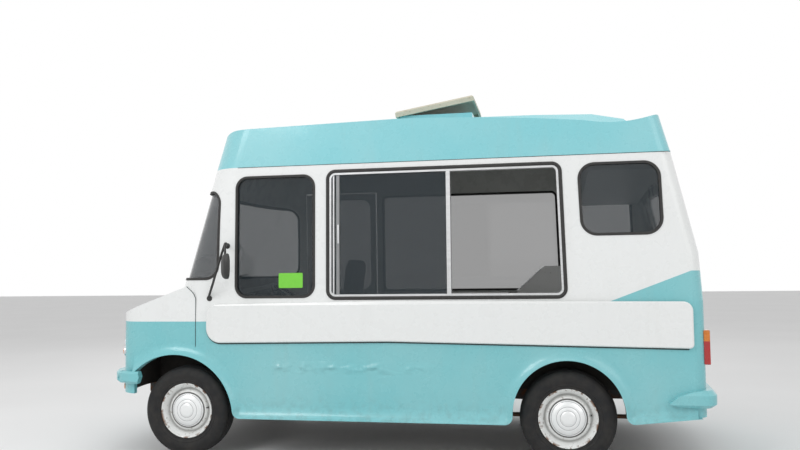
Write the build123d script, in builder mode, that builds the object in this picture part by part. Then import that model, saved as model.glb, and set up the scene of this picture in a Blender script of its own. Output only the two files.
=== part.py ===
from build123d import *

import math
import os

# Ice cream van: a moulded body on a light commercial chassis. Millimetres. X runs rearwards, Y to the
# right-hand side and Z upwards, from a point on the ground midway along the van.

# Chassis and running gear
WHEELBASE = 2692.0
FRONT_OVERHANG = 655.0
REAR_OVERHANG = 969.0
F = -(WHEELBASE + REAR_OVERHANG - FRONT_OVERHANG) / 2
R = F + WHEELBASE
WHEEL_Y = 832.0
AXLE_Z = 318.0
KINGPIN_Y = 740.0
KINGPIN_RADIUS = 22.0
STEER_ARM = 130.0
RAIL_Y = 400.0
RAIL_WIDTH = 60.0
RAIL_LOW = 380.0
RAIL_TOP = 480.0

# Wheels and tyres
TYRE_RADIUS = 318.0
TYRE_WIDTH = 184.0
RIM_RADIUS = 178.0
RIM_WIDTH = 136.0
RIM_HALF = RIM_WIDTH / 2
RIM_SHEET = 8.0
FLANGE_RADIUS = 195.0
FLANGE = 8.0
HUB_CAP_RADIUS = 118.0
HUB_RADIUS = 52.0
STUB_RADIUS = 22.0
FIT = 0.3
DRUM_RADIUS = 126.0

# Body shell
WALL = 36.0
HALF_WIDTH = 955.0
FRONT_RAKE = 0.29
FRONT_BOW = 140.0
FRONT_CORNER = 250.0
REAR_BOW = 50.0
REAR_CORNER = 90.0
SCREEN_BASE_X = F - 158.0
SCREEN_BASE_Z = 1250.0
SILL_Z = 284.0
WAIST_Z = 1085.0
CANT_Z = 2060.0
PILLAR_X = F + 339.0
NOSE_SEAM_X = F + 92.0
BAND_PROUD = 28.0
LIP_PROUD = 36.0
LIP_WIDTH = 92.0
GAP = 6.0
DOOR_FREE_GAP = 11.0

# Floor and wheel houses
FLOOR_TOP = 520.0
FLOOR = 40.0
HOUSE_WALL = 8.0
BULKHEAD_X = F - 118.0

# Glazing
GLASS = 6.0
GLASS_INSET = 12.0
SEAL = 18.0
SEAL_PROUD = 5.0

# Columns: height, half width, rear end behind the rear axle.
BODY_LEVELS = (
    (SILL_Z - 120.0, HALF_WIDTH, 864.0),
    (WAIST_Z, HALF_WIDTH, 864.0),
    (1400.0, HALF_WIDTH - 7.4, 846.0),
    (CANT_Z, HALF_WIDTH - 23.0, 697.0),
    (2520.0, HALF_WIDTH - 47.0, 575.0),
)

# Windows. Columns: front edge low and high, rear edge low and high (X behind the front axle), sill and top
# heights, corner radius.
SCREEN = (-500.0, -500.0, 266.0, 275.0, 1254.0, 1905.0, 105.0)
CAB_WINDOW = (388.0, 388.0, 983.0, 983.0, 1122.0, 1995.0, 90.0)
SERVING_WINDOW = (1075.0, 1075.0, 2698.0, 2676.0, 1119.0, 2008.0, 55.0)
QUARTER_WINDOW = (2803.0, 2786.0, 3330.0, 3318.0, 1518.0, 2005.0, 110.0)
DOOR_WINDOW = (430.0, 430.0, 960.0, 960.0, 1140.0, 1975.0, 80.0)

# Arches. Columns: X behind the front axle and height of the centre, radius.
FRONT_ARCH = (-57.0, 282.0, 443.0)
REAR_ARCH = (WHEELBASE + 3.0, 344.0, 362.0)
FRONT_ARCH_NOSE_X = F - 385.0


def save(part, label):
    """Labels a finished piece and writes it to its own file."""
    part.label = label
    export_step(part, f"parts/{label}.step")


def block(x0, x1, y0, y1, z0, z1, mode=Mode.ADD):
    """A box given by its limits."""
    with Locations(((x0 + x1) / 2, (y0 + y1) / 2, (z0 + z1) / 2)):
        Box(x1 - x0, y1 - y0, z1 - z0, mode=mode)


def blocks(x0, x1, y0, y1, z0, z1, mode=Mode.ADD):
    """The same box on both sides of the centre line."""
    block(x0, x1, y0, y1, z0, z1, mode)
    block(x0, x1, -y1, -y0, z0, z1, mode)


def rod(start, end, radius, mode=Mode.ADD):
    """A round bar between two points."""
    run = Vector(*end) - Vector(*start)
    with BuildSketch(Plane(origin=start, z_dir=run)) as end_face:
        Circle(radius)
    extrude(end_face.sketch, amount=run.length, mode=mode)


def disc(x, z, radius, y0, y1, mode=Mode.ADD):
    """A round plate across the van."""
    rod((x, y0, z), (x, y1, z), radius, mode)


def prism(points, y0, y1, radius=0.0):
    """A plate across the van with its outline given in X behind the front axle and Z."""
    with BuildPart() as plate:
        with BuildSketch(Plane.XZ.offset(-y0)) as outline:
            with BuildLine():
                Polyline(*[(F + x, z) for x, z in points], close=True)
            make_face()
            if radius > 0:
                fillet(outline.vertices(), radius)
        extrude(amount=y0 - y1)
    return plate.part


def window(row, grow, y0, y1):
    """Prism through a wall with a window's outline, grown or shrunk all round."""
    front_low, front_high, rear_low, rear_high, low, high, radius = row
    corners = (
        (front_low - grow, low - grow),
        (rear_low + grow, low - grow),
        (rear_high + grow, high + grow),
        (front_high - grow, high + grow),
    )
    return prism(corners, y0, y1, radius + grow)


def front_x(level):
    """Centre of the raked front at a height."""
    return SCREEN_BASE_X + (level - SCREEN_BASE_Z) * FRONT_RAKE


def body_section(level, half_width, rear, inset):
    """Level outline of the body: bowed front and rear, straight sides, rounded corners."""
    front = front_x(level) + inset
    back = R + rear - inset
    side = half_width - inset
    with BuildSketch(Plane.XY.offset(level)) as outline:
        with BuildLine():
            ThreePointArc((front + FRONT_BOW, side), (front, 0), (front + FRONT_BOW, -side))
            Line((front + FRONT_BOW, -side), (back, -side))
            ThreePointArc((back, -side), (back + REAR_BOW, 0), (back, side))
            Line((back, side), (front + FRONT_BOW, side))
        make_face()
        fillet(outline.vertices().group_by(Axis.X)[0], FRONT_CORNER - inset)
        fillet(outline.vertices().group_by(Axis.X)[-1], REAR_CORNER - inset)
    return outline.sketch


def body_solid(inset, low, high):
    """The body's outer form, moved inwards by the inset, between two rows of the level table."""
    with BuildPart() as form:
        for lower, upper in zip(BODY_LEVELS[low:high], BODY_LEVELS[low + 1:high + 1]):
            loft([body_section(*lower, inset), body_section(*upper, inset)], ruled=True)
    return form.part


# Waist band: front and rear ends behind the front axle, heights of its edges at the front, middle and rear
BAND_FRONT = 181.0
BAND_REAR = WHEELBASE + 792.0
BAND_LOW = (808.0, 824.0, 787.0)
BAND_HIGH = (1078.0, 1099.0, 1086.0)
BAND_MIDDLE = 1500.0
# Seam between the side panels and the skirts, along the band's lower edge, in X behind the front axle and Z
SEAM = (
    (NOSE_SEAM_X - F, BAND_LOW[0]),
    (BAND_FRONT, BAND_LOW[0]),
    (BAND_MIDDLE, BAND_LOW[1]),
    (BAND_REAR, BAND_LOW[2]),
    (WHEELBASE + 800.0, BAND_LOW[2]),
)

os.makedirs("parts", exist_ok=True)

OUTER = body_solid(0, 0, 3)
INNER = body_solid(WALL, 0, 3)
SHELL = OUTER - INNER
REACH = 1200.0

# Zones of the shell, seen from the side: the rear cap, the windscreen surround and what lies between.
REAR_CAP = prism(
    (
        (WHEELBASE + 800, 0),
        (WHEELBASE + 800, 1400),
        (WHEELBASE + 652, CANT_Z),
        (WHEELBASE + 1200, CANT_Z),
        (WHEELBASE + 1200, 0),
    ),
    -REACH,
    REACH,
)
NOSE_TOP = 1211.0
BONNET_SLOPE = 0.37
SURROUND = prism(
    ((-600, NOSE_TOP - 620 * BONNET_SLOPE), (20, NOSE_TOP), (339, 1240), (339, CANT_Z), (-600, CANT_Z)),
    -REACH,
    REACH,
)
SIDE = prism(
    (
        (92, 1124),
        (61, 1175),
        (20, NOSE_TOP),
        (339, 1240),
        (339, CANT_Z),
        (WHEELBASE + 652, CANT_Z),
        (WHEELBASE + 800, 1400),
        *reversed(SEAM),
    ),
    -REACH,
    REACH,
)

BAND_BEVEL = 7.0
BAND_ROOT = 8.0
# Corner radii of the band. Columns: X behind the front axle, height, radius.
BAND_CORNERS = (
    (BAND_FRONT, BAND_LOW[0], 105.0),
    (BAND_FRONT, BAND_HIGH[0], 70.0),
    (BAND_REAR, BAND_HIGH[2], 60.0),
    (BAND_REAR, BAND_LOW[2], 28.0),
)


def band():
    """The proud band along the right side, with bent long edges, round ends and an eased rim."""
    low_front, low_middle, low_rear = BAND_LOW
    high_front, high_middle, high_rear = BAND_HIGH
    with BuildPart() as strip:
        with BuildSketch(Plane.XZ.offset(BAND_ROOT - HALF_WIDTH)) as outline:
            with BuildLine():
                Polyline(
                    (F + BAND_FRONT, low_front),
                    (F + BAND_MIDDLE, low_middle),
                    (F + BAND_REAR, low_rear),
                    (F + BAND_REAR, high_rear),
                    (F + BAND_MIDDLE, high_middle),
                    (F + BAND_FRONT, high_front),
                    close=True,
                )
            make_face()
            for x, level, radius in BAND_CORNERS:
                fillet(outline.vertices().sort_by_distance((F + x, level))[0], radius)
        extrude(amount=-BAND_PROUD - BAND_ROOT)
        chamfer(strip.faces().sort_by(Axis.Y)[-1].edges(), BAND_BEVEL)
    return strip.part


BAND_RIGHT = band()


def arch_tool(row, grow, y0, y1):
    """Round tool with an arch's outline."""
    x, z, radius = row
    with BuildPart() as tool:
        disc(F + x, z, radius + grow, y0, y1)
    return tool.part


# Section of the flared lips. Columns: distance from the opening's edge, how far the lip stands proud.
LIP_SECTION = ((0.0, LIP_PROUD), (8.0, LIP_PROUD - 1.0), (30.0, 15.5), (58.0, 4.5), (LIP_WIDTH, -0.5))
LIP_ROOT = 20.0


def lip_points(start, side, y_sign, turn):
    """Corners of a lip's section: distance along the panel from a start, then Y."""
    section = [(start + turn * away, side + y_sign * proud) for away, proud in LIP_SECTION]
    root = side - y_sign * LIP_ROOT
    return section + [(start + turn * LIP_WIDTH, root), (start, root)]


def arch_lip(row, y_sign):
    """Flared lip around an arch, rising towards the opening."""
    x, z, radius = row
    with BuildPart() as lip:
        with BuildSketch(Plane(origin=(F + x, 0, z), x_dir=(1, 0, 0), z_dir=(0, 0, 1))):
            with BuildLine():
                Polyline(*lip_points(radius, y_sign * HALF_WIDTH, y_sign, 1), close=True)
            make_face()
        revolve(axis=Axis((F + x, 0, z), (0, 1, 0)))
    return lip.part


def sill_lip(y_sign, start, end):
    """Flared lip along a straight edge between two points given in X behind the front axle and Z."""
    run = Vector(end[0] - start[0], 0, end[1] - start[1])
    with BuildPart() as lip:
        with BuildSketch(Plane(origin=(F + start[0], 0, start[1]), x_dir=(0, 1, 0), z_dir=run)):
            with BuildLine():
                points = lip_points(0, y_sign * HALF_WIDTH, y_sign, 1)
                Polyline(*[(y, away) for away, y in points], close=True)
            make_face()
        extrude(amount=run.length)
    return lip.part


# Sill edges of the skirts. Columns: X behind the front axle and Z of the start, the same of the end.
SILL_EDGE = (380.0, SILL_Z, 2345.0, SILL_Z)
REAR_SILL_EDGE = (3040.0, 297.0, 3520.0, 350.0)
CORNER_RADIUS = 52.0


def corner_centre(arch, edge, rear):
    """Centre of the round between an arch and a sill edge, and where it touches both."""
    x, z, radius = arch
    start = Vector(edge[0], 0, edge[1])
    along = (Vector(edge[2], 0, edge[3]) - start).normalized()
    up = Vector(-along.Z, 0, along.X)
    foot = Vector(x, 0, z) - start
    height = foot.dot(up) - CORNER_RADIUS
    reach = math.sqrt((radius + CORNER_RADIUS) ** 2 - height ** 2)
    middle = foot.dot(along) + (reach if rear else -reach)
    centre = start + along * middle + up * CORNER_RADIUS
    on_edge = start + along * middle
    on_arch = Vector(x, 0, z) + (centre - Vector(x, 0, z)).normalized() * radius
    return centre, on_edge, on_arch


def corner_wedge(arch, edge, rear, y0, y1):
    """Prism over the corner between an arch and a sill edge, out beyond its tip."""
    centre, on_edge, on_arch = corner_centre(arch, edge, rear)
    tip = centre + (on_edge - centre + on_arch - centre) * 1.6
    points = [(point.X, point.Z) for point in (centre, on_edge, tip, on_arch)]
    return prism(points, y0, y1)


def corner_cut(arch, edge, rear, y0, y1):
    """Tool that rounds the corner between an arch and a sill edge."""
    centre = corner_centre(arch, edge, rear)[0]
    round_tool = arch_tool((centre.X, centre.Z, CORNER_RADIUS), 0, y0 - 1, y1 + 1)
    return corner_wedge(arch, edge, rear, y0, y1) - round_tool


def corner_lip(arch, edge, rear, y_sign):
    """Flared lip around that corner, as proud at its edge as the lips beside it."""
    centre = corner_centre(arch, edge, rear)[0]
    side = y_sign * HALF_WIDTH
    root = side - y_sign * LIP_ROOT
    with BuildPart() as lip:
        with BuildSketch(Plane(origin=(F + centre.X, 0, centre.Z), x_dir=(1, 0, 0), z_dir=(0, 0, 1))):
            with BuildLine():
                Polyline(
                    (0, root),
                    (0, side + y_sign * 6.0),
                    (CORNER_RADIUS - 30.0, side + y_sign * 15.5),
                    (CORNER_RADIUS - 8.0, side + y_sign * (LIP_PROUD - 1.0)),
                    (CORNER_RADIUS, side + y_sign * LIP_PROUD),
                    (CORNER_RADIUS, root),
                    close=True,
                )
            make_face()
        revolve(axis=Axis((F + centre.X, 0, centre.Z), (0, 1, 0)))
    low, high = sorted((root, side + y_sign * (LIP_PROUD + 5)))
    return lip.part & corner_wedge(arch, edge, rear, low, high)


# Corners of the skirts. Columns: arch, sill edge, whether the corner lies behind the arch.
SKIRT_CORNERS = (
    (FRONT_ARCH, SILL_EDGE, True),
    (REAR_ARCH, SILL_EDGE, False),
    (REAR_ARCH, REAR_SILL_EDGE, True),
)


# The driver's door, on the right: its outline seen from the side, its front lower corner follows the arch.
DOOR_FRONT = 345.0
DOOR_REAR = 1012.0
DOOR_LOW = 442.0
DOOR_HIGH = 2036.0
DOOR_ARCH_CLEAR = LIP_WIDTH + 4.0


def door_zone(gap, free_gap):
    """Prism through the right side with the door's outline."""
    corners = (
        (DOOR_FRONT - gap, DOOR_LOW - gap),
        (DOOR_REAR + free_gap, DOOR_LOW - gap),
        (DOOR_REAR + free_gap, DOOR_HIGH + gap),
        (DOOR_FRONT - gap, DOOR_HIGH + gap),
    )
    zone = prism(corners, 600, REACH)
    return zone - arch_tool(FRONT_ARCH, DOOR_ARCH_CLEAR + GAP - gap, 500, REACH + 10)


DOOR_ZONE = door_zone(0, 0)
DOOR_HOLE = door_zone(GAP, DOOR_FREE_GAP)

# Hinges: a pin held by two end knuckles on the fixed side, a sleeve with a leaf on the moving side.
# Each foot is a box in the hinge's own plane, given as x0, x1, y0, y1.
HINGE_PIN = 4.0
HINGE_SLEEVE = 8.0
HINGE_HALF = 34.0
HINGE_MIDDLE = 12.0
HINGE_PLAY = 0.6


def hinge_fixed(plane, feet):
    """Pin and end knuckles with their feet."""
    end = HINGE_HALF - HINGE_MIDDLE
    with BuildPart(plane) as leaf:
        Cylinder(HINGE_PIN, 2 * HINGE_HALF)
        for level in (-HINGE_MIDDLE - end / 2, HINGE_MIDDLE + end / 2):
            with Locations((0, 0, level)):
                Cylinder(HINGE_SLEEVE, end)
            for x0, x1, y0, y1 in feet:
                with Locations(((x0 + x1) / 2, (y0 + y1) / 2, level)):
                    Box(x1 - x0, y1 - y0, end)
    return leaf.part


def hinge_moving(plane, feet):
    """Sleeve around the pin with its leaf."""
    length = 2 * (HINGE_MIDDLE - HINGE_PLAY)
    with BuildPart(plane) as leaf:
        Cylinder(HINGE_SLEEVE, length)
        for x0, x1, y0, y1 in feet:
            with Locations(((x0 + x1) / 2, (y0 + y1) / 2, 0)):
                Box(x1 - x0, y1 - y0, length)
        Cylinder(HINGE_PIN + FIT, length, mode=Mode.SUBTRACT)
    return leaf.part


DOOR_HINGE_X = F + 342.0
DOOR_HINGE_Y = HALF_WIDTH + BAND_PROUD + 6.0
DOOR_HINGE_LEVELS = (740.0, 1300.0)


HANDLE_GRIP = 8.0
HANDLE_STAND = 30.0


def door_hinge_plane(level):
    """Plane of one of the driver's door hinges."""
    return Plane(origin=(DOOR_HINGE_X, DOOR_HINGE_Y, level), x_dir=(1, 0, 0), z_dir=(0, 0, 1))


# Side wall with its waist band, before its openings are cut
with BuildPart() as side_wall:
    add(SHELL)
    add(SIDE, mode=Mode.INTERSECT)
    block(F, R + 1000, -REACH, 1, 0, 2600, mode=Mode.SUBTRACT)
    add(BAND_RIGHT)

# Left side panel with the cab window, serving window and quarter window
with BuildPart() as side_left:
    add(side_wall.part)
    mirror(about=Plane.XZ, mode=Mode.REPLACE)
    for row in (CAB_WINDOW, SERVING_WINDOW, QUARTER_WINDOW):
        add(window(row, 0, -REACH, -700), mode=Mode.SUBTRACT)
save(side_left.part, "side_left")

# Right side panel: the same moulding with the driver's door opening and a long fixed window
with BuildPart() as side_right:
    add(side_wall.part)
    add(DOOR_HOLE, mode=Mode.SUBTRACT)
    for row in (SERVING_WINDOW, QUARTER_WINDOW):
        add(window(row, 0, 700, REACH), mode=Mode.SUBTRACT)
save(side_right.part, "side_right")

# Driver's door
with BuildPart() as driver_door:
    add(SHELL)
    block(F, R, -REACH, 1, 0, 2600, mode=Mode.SUBTRACT)
    add(BAND_RIGHT)
    add(DOOR_ZONE, mode=Mode.INTERSECT)
    add(window(DOOR_WINDOW, 0, 700, REACH), mode=Mode.SUBTRACT)
    for level in DOOR_HINGE_LEVELS:
        add(hinge_moving(door_hinge_plane(level), ((3.5, 34, -46, 6),)) - OUTER)
    handle_y = HALF_WIDTH + BAND_PROUD + HANDLE_STAND
    for x in (F + DOOR_REAR - 140, F + DOOR_REAR - 50):
        rod((x, HALF_WIDTH, 1000), (x, handle_y, 1000), HANDLE_GRIP)
    rod((F + DOOR_REAR - 160, handle_y, 1000), (F + DOOR_REAR - 30, handle_y, 1000), HANDLE_GRIP)
save(driver_door.part, "driver_door")

# Windscreen surround with pillars, header and scuttle
with BuildPart() as windscreen_surround:
    add(SHELL)
    add(SURROUND, mode=Mode.INTERSECT)
    add(window(SCREEN, 0, -REACH, REACH), mode=Mode.SUBTRACT)
    add(hinge_fixed(door_hinge_plane(DOOR_HINGE_LEVELS[1]), ((-34, -3.5, -46, 6),)) - OUTER)
save(windscreen_surround.part, "windscreen_surround")

# Skirts below the waist, with flared lips on arches and sill
def skirt_part(y_sign):
    """Skirt of one side."""
    y0, y1 = sorted((y_sign * 600, y_sign * REACH))
    zone = prism(
        (
            (92, SILL_Z),
            *SEAM,
            (WHEELBASE + 800, REAR_SILL_EDGE[3]),
            (REAR_SILL_EDGE[2], REAR_SILL_EDGE[3]),
            (REAR_SILL_EDGE[0], REAR_SILL_EDGE[1]),
            (REAR_SILL_EDGE[0], SILL_Z),
        ),
        y0,
        y1,
    )
    with BuildPart() as skirt:
        add(SHELL)
        for arch in (FRONT_ARCH, REAR_ARCH):
            add(arch_lip(arch, y_sign))
        for edge in (SILL_EDGE, REAR_SILL_EDGE):
            add(sill_lip(y_sign, edge[:2], edge[2:]))
        for corner in SKIRT_CORNERS:
            add(corner_lip(*corner, y_sign))
        add(zone, mode=Mode.INTERSECT)
        for arch in (FRONT_ARCH, REAR_ARCH):
            add(arch_tool(arch, 0, y0, y1), mode=Mode.SUBTRACT)
        for corner in SKIRT_CORNERS:
            add(corner_cut(*corner, y0, y1), mode=Mode.SUBTRACT)
    return skirt.part


with BuildPart() as skirts:
    add(skirt_part(-1))
    add(skirt_part(1))
    add(DOOR_HOLE, mode=Mode.SUBTRACT)
    add(hinge_fixed(door_hinge_plane(DOOR_HINGE_LEVELS[0]), ((-34, -3.5, -46, 6),)) - OUTER)
save(skirts.part, "skirts")

# Rear cap with a fixed window on the left and the rear door's opening on the right
REAR_CAP_LOW = 350.0
REAR_DOOR_LEFT = 36.0
REAR_DOOR_RIGHT = 800.0
REAR_DOOR_LOW = 610.0
REAR_DOOR_HIGH = 1950.0
REAR_WINDOW_LOW = 1250.0
REAR_WINDOW_HIGH = 1880.0
REAR_DOOR_FREE_GAP = 13.0


def rear_prism(y0, y1, z0, z1, radius):
    """Prism along the van through the rear wall with rounded corners."""
    with BuildPart() as plate:
        with BuildSketch(Plane(origin=(R + 300, 0, 0), x_dir=(0, 1, 0), z_dir=(1, 0, 0))) as outline:
            with Locations(((y0 + y1) / 2, (z0 + z1) / 2)):
                RectangleRounded(y1 - y0, z1 - z0, radius)
        extrude(amount=900)
    return plate.part


REAR_DOOR_ZONE = rear_prism(REAR_DOOR_LEFT, REAR_DOOR_RIGHT, REAR_DOOR_LOW, REAR_DOOR_HIGH, 60)
REAR_DOOR_HOLE = rear_prism(
    REAR_DOOR_LEFT - REAR_DOOR_FREE_GAP,
    REAR_DOOR_RIGHT + GAP + 2,
    REAR_DOOR_LOW - GAP,
    REAR_DOOR_HIGH + GAP,
    66,
)
REAR_WINDOW_LEFT = rear_prism(-720, -90, REAR_WINDOW_LOW, REAR_WINDOW_HIGH, 80)
REAR_WINDOW_LEFT_GLASS = rear_prism(
    -720 + SEAL, -90 - SEAL, REAR_WINDOW_LOW + SEAL, REAR_WINDOW_HIGH - SEAL, 80 - SEAL
)
REAR_WINDOW_RIGHT = rear_prism(120, 700, REAR_WINDOW_LOW, REAR_WINDOW_HIGH, 80)

REAR_HINGE_LEVELS = (720.0, 1330.0)
REAR_HINGE_X = R + 893.0
REAR_HINGE_Y = REAR_DOOR_RIGHT + 5.0


def rear_hinge_plane(level):
    """Plane of one of the rear door's hinges."""
    return Plane(origin=(REAR_HINGE_X, REAR_HINGE_Y, level), x_dir=(1, 0, 0), z_dir=(0, 0, 1))


with BuildPart() as rear_panel:
    add(SHELL)
    add(REAR_CAP, mode=Mode.INTERSECT)
    block(F, R + 1200, -REACH, REACH, 0, REAR_CAP_LOW, mode=Mode.SUBTRACT)
    add(REAR_DOOR_HOLE, mode=Mode.SUBTRACT)
    add(REAR_WINDOW_LEFT, mode=Mode.SUBTRACT)
    for level in REAR_HINGE_LEVELS:
        add(hinge_fixed(rear_hinge_plane(level), ((-70, 6, 3.5, 34),)) - OUTER)
save(rear_panel.part, "rear_panel")

with BuildPart() as rear_door:
    add(SHELL)
    add(REAR_DOOR_ZONE, mode=Mode.INTERSECT)
    add(REAR_WINDOW_RIGHT, mode=Mode.SUBTRACT)
    for level in REAR_HINGE_LEVELS:
        add(hinge_moving(rear_hinge_plane(level), ((-70, 6, -34, -5.5),)) - OUTER)
    handle_x = R + 864 + REAR_BOW + HANDLE_STAND
    for level in (960, 1060):
        rod((R + 880, REAR_DOOR_LEFT + 60, level), (handle_x, REAR_DOOR_LEFT + 60, level), HANDLE_GRIP)
    rod((handle_x, REAR_DOOR_LEFT + 60, 940), (handle_x, REAR_DOOR_LEFT + 60, 1080), HANDLE_GRIP)
save(rear_door.part, "rear_door")

# Nose: a lower front with a sloping top, open below
NOSE_FRONT = 600.0
NOSE_BOW = 95.0
NOSE_CORNER = 200.0
NOSE_LOW = 440.0
BONNET_X0 = -525.0
BONNET_X1 = -245.0
BONNET_HALF = 600.0


def nose_form(inset, low):
    """Outer form of the nose, moved inwards by the inset, from a height up to the sloping top."""
    front = F - NOSE_FRONT + inset
    side = HALF_WIDTH - inset
    with BuildPart() as form:
        with BuildSketch(Plane.XY.offset(low)) as outline:
            with BuildLine():
                Line((NOSE_SEAM_X, side), (front + NOSE_BOW, side))
                ThreePointArc((front + NOSE_BOW, side), (front, 0), (front + NOSE_BOW, -side))
                Line((front + NOSE_BOW, -side), (NOSE_SEAM_X, -side))
                Line((NOSE_SEAM_X, -side), (NOSE_SEAM_X, side))
            make_face()
            fillet(outline.vertices().group_by(Axis.X)[0], NOSE_CORNER - inset)
        extrude(amount=1300 - low)
    top = NOSE_TOP - inset * math.hypot(1, BONNET_SLOPE)
    cut = prism(
        (
            (-900, top - 920 * BONNET_SLOPE),
            (20, top),
            (61, 1175 - inset),
            (92, 1124 - inset),
            (92, 0),
            (-900, 0),
        ),
        -REACH,
        REACH,
    )
    return form.part & cut


NOSE_OUTER = nose_form(0, NOSE_LOW)
NOSE_INNER = nose_form(WALL, NOSE_LOW - 10)
BONNET_HOLE = prism(
    ((BONNET_X0, 700), (BONNET_X0, 1300), (BONNET_X1, 1300), (BONNET_X1, 700)), -BONNET_HALF, BONNET_HALF
)
BONNET_ZONE = prism(
    (
        (BONNET_X0 + GAP, 700),
        (BONNET_X0 + GAP, 1300),
        (BONNET_X1 - GAP, 1300),
        (BONNET_X1 - GAP, 700),
    ),
    -BONNET_HALF + GAP,
    BONNET_HALF - GAP,
)
GRILLE_Z0 = 650.0
GRILLE_Z1 = 880.0
GRILLE_HALF = 500.0
LAMP_Y = 680.0
LAMP_Z = 770.0
LAMP_RADIUS = 92.0

# Arch openings of the nose end before the bumper
NOSE_ARCH = prism(
    ((-385, 0), (-385, 900), (100, 900), (100, 0)), -REACH, REACH
) & arch_tool(FRONT_ARCH, 0, -REACH, REACH)
NOSE_LIPS = (arch_lip(FRONT_ARCH, -1) + arch_lip(FRONT_ARCH, 1)) & prism(
    ((-385, NOSE_LOW), (-385, 900), (92, 900), (92, NOSE_LOW)), -REACH, REACH
)
BONNET_HINGE = (F + BONNET_X1 - 3.0, 1122.0)
BONNET_HINGE_Y = 420.0


def bonnet_hinge_plane(y):
    """Plane of one of the bonnet's hinges."""
    return Plane(origin=(BONNET_HINGE[0], y, BONNET_HINGE[1]), x_dir=(1, 0, 0), z_dir=(0, 1, 0))


with BuildPart() as nose_panel:
    add(NOSE_OUTER)
    add(NOSE_INNER, mode=Mode.SUBTRACT)
    add(NOSE_LIPS)
    add(INNER, mode=Mode.SUBTRACT)
    add(NOSE_ARCH, mode=Mode.SUBTRACT)
    block(NOSE_SEAM_X, NOSE_SEAM_X + 50, -REACH, REACH, 0, 1300, mode=Mode.SUBTRACT)
    add(BONNET_HOLE, mode=Mode.SUBTRACT)
    block(F - 700, F - 450, -GRILLE_HALF, GRILLE_HALF, GRILLE_Z0, GRILLE_Z1, mode=Mode.SUBTRACT)
    for y in (-LAMP_Y, LAMP_Y):
        rod((F - 700, y, LAMP_Z), (F - 450, y, LAMP_Z), LAMP_RADIUS, Mode.SUBTRACT)
    for y in (-BONNET_HINGE_Y, BONNET_HINGE_Y):
        add(hinge_fixed(bonnet_hinge_plane(y), ((4, 24, -5, 30),)) - NOSE_OUTER)
save(nose_panel.part, "nose_panel")

# Bonnet
BONNET_INNER = nose_form(25, NOSE_LOW - 10)
with BuildPart() as bonnet:
    add(NOSE_OUTER)
    add(BONNET_INNER, mode=Mode.SUBTRACT)
    add(BONNET_ZONE, mode=Mode.INTERSECT)
    for y in (-BONNET_HINGE_Y, BONNET_HINGE_Y):
        add(hinge_moving(bonnet_hinge_plane(y), ((-24, -4, -5, 30),)) - NOSE_OUTER)
save(bonnet.part, "bonnet")

# Grille with level bars in a frame
with BuildPart() as grille:
    x0 = F - NOSE_FRONT + 18
    block(x0, x0 + 30, -GRILLE_HALF, GRILLE_HALF, GRILLE_Z0, GRILLE_Z1)
    blocks(x0 - 1, x0 + 31, 0, GRILLE_HALF - 16, GRILLE_Z0 + 16, GRILLE_Z1 - 16, Mode.SUBTRACT)
    for level in (685, 722, 759, 796, 833):
        block(x0 + 4, x0 + 26, -GRILLE_HALF + 10, GRILLE_HALF - 10, level, level + 12)
    for y in (-250, 0, 250):
        block(x0 + 8, x0 + 24, y - 5, y + 5, GRILLE_Z0 + 10, GRILLE_Z1 - 10)
save(grille.part, "grille")

# Head lamps and turn lamps
with BuildPart() as front_lamps:
    for y in (-LAMP_Y, LAMP_Y):
        rod((F - 555, y, LAMP_Z), (F - 480, y, LAMP_Z), LAMP_RADIUS)
save(front_lamps.part, "front_lamps")


def bumper_outline(level, proud):
    """Plan outline of the nose grown outwards at a height, used by the front bumper."""
    front = F - NOSE_FRONT - proud
    side = HALF_WIDTH + proud
    with BuildSketch(Plane.XY.offset(level)) as outline:
        with BuildLine():
            Line((F + 92, side), (front + NOSE_BOW, side))
            ThreePointArc((front + NOSE_BOW, side), (front, 0), (front + NOSE_BOW, -side))
            Line((front + NOSE_BOW, -side), (F + 92, -side))
            Line((F + 92, -side), (F + 92, side))
        make_face()
        fillet(outline.vertices().group_by(Axis.X)[0], NOSE_CORNER + proud)
    return outline.sketch


def rear_bumper_outline(level, proud):
    """Plan outline of the tail grown outwards at a height, used by the rear bumper."""
    return body_section(level, HALF_WIDTH + proud, BODY_LEVELS[0][2] + proud, 0)


# Bumper sections. Columns: height, how far the face stands proud of the body.
FRONT_BUMPER_SECTION = ((515.0, 38.0), (533.0, 55.0), (588.0, 55.0), (603.0, 40.0))
REAR_BUMPER_SECTION = ((413.0, 30.0), (436.0, 54.0), (496.0, 55.0), (525.0, 30.0))
# The bumpers' outlines seen from the side, in X behind the front axle and Z
FRONT_BUMPER_SIDE = ((-800, 480), (-352, 480), (-330, 530), (-318, 565), (-335, 620), (-800, 620))
REAR_BUMPER_SIDE = (
    (3318, 440),
    (3380, 491),
    (3460, 515),
    (3540, 526),
    (3700, 526),
    (3700, 413),
    (3540, 413),
    (3370, 424),
)


def bumper_form(outline, section, side):
    """A moulded blade around the body: stacked plan outlines, trimmed to its side view."""
    with BuildPart() as blade:
        for lower, upper in zip(section[:-1], section[1:]):
            loft([outline(*lower), outline(*upper)], ruled=True)
        extrude(outline(section[0][0] - 5, 0), amount=160, mode=Mode.SUBTRACT)
        add(prism(side, -REACH, REACH), mode=Mode.INTERSECT)
    return blade.part


# Bumpers
with BuildPart() as bumpers:
    add(bumper_form(bumper_outline, FRONT_BUMPER_SECTION, FRONT_BUMPER_SIDE))
    add(bumper_form(rear_bumper_outline, REAR_BUMPER_SECTION, REAR_BUMPER_SIDE))
    for y_sign in (-1, 1):
        add(arch_lip(FRONT_ARCH, y_sign), mode=Mode.SUBTRACT)
        add(sill_lip(y_sign, REAR_SILL_EDGE[:2], REAR_SILL_EDGE[2:]), mode=Mode.SUBTRACT)
save(bumpers.part, "bumpers")

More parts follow.
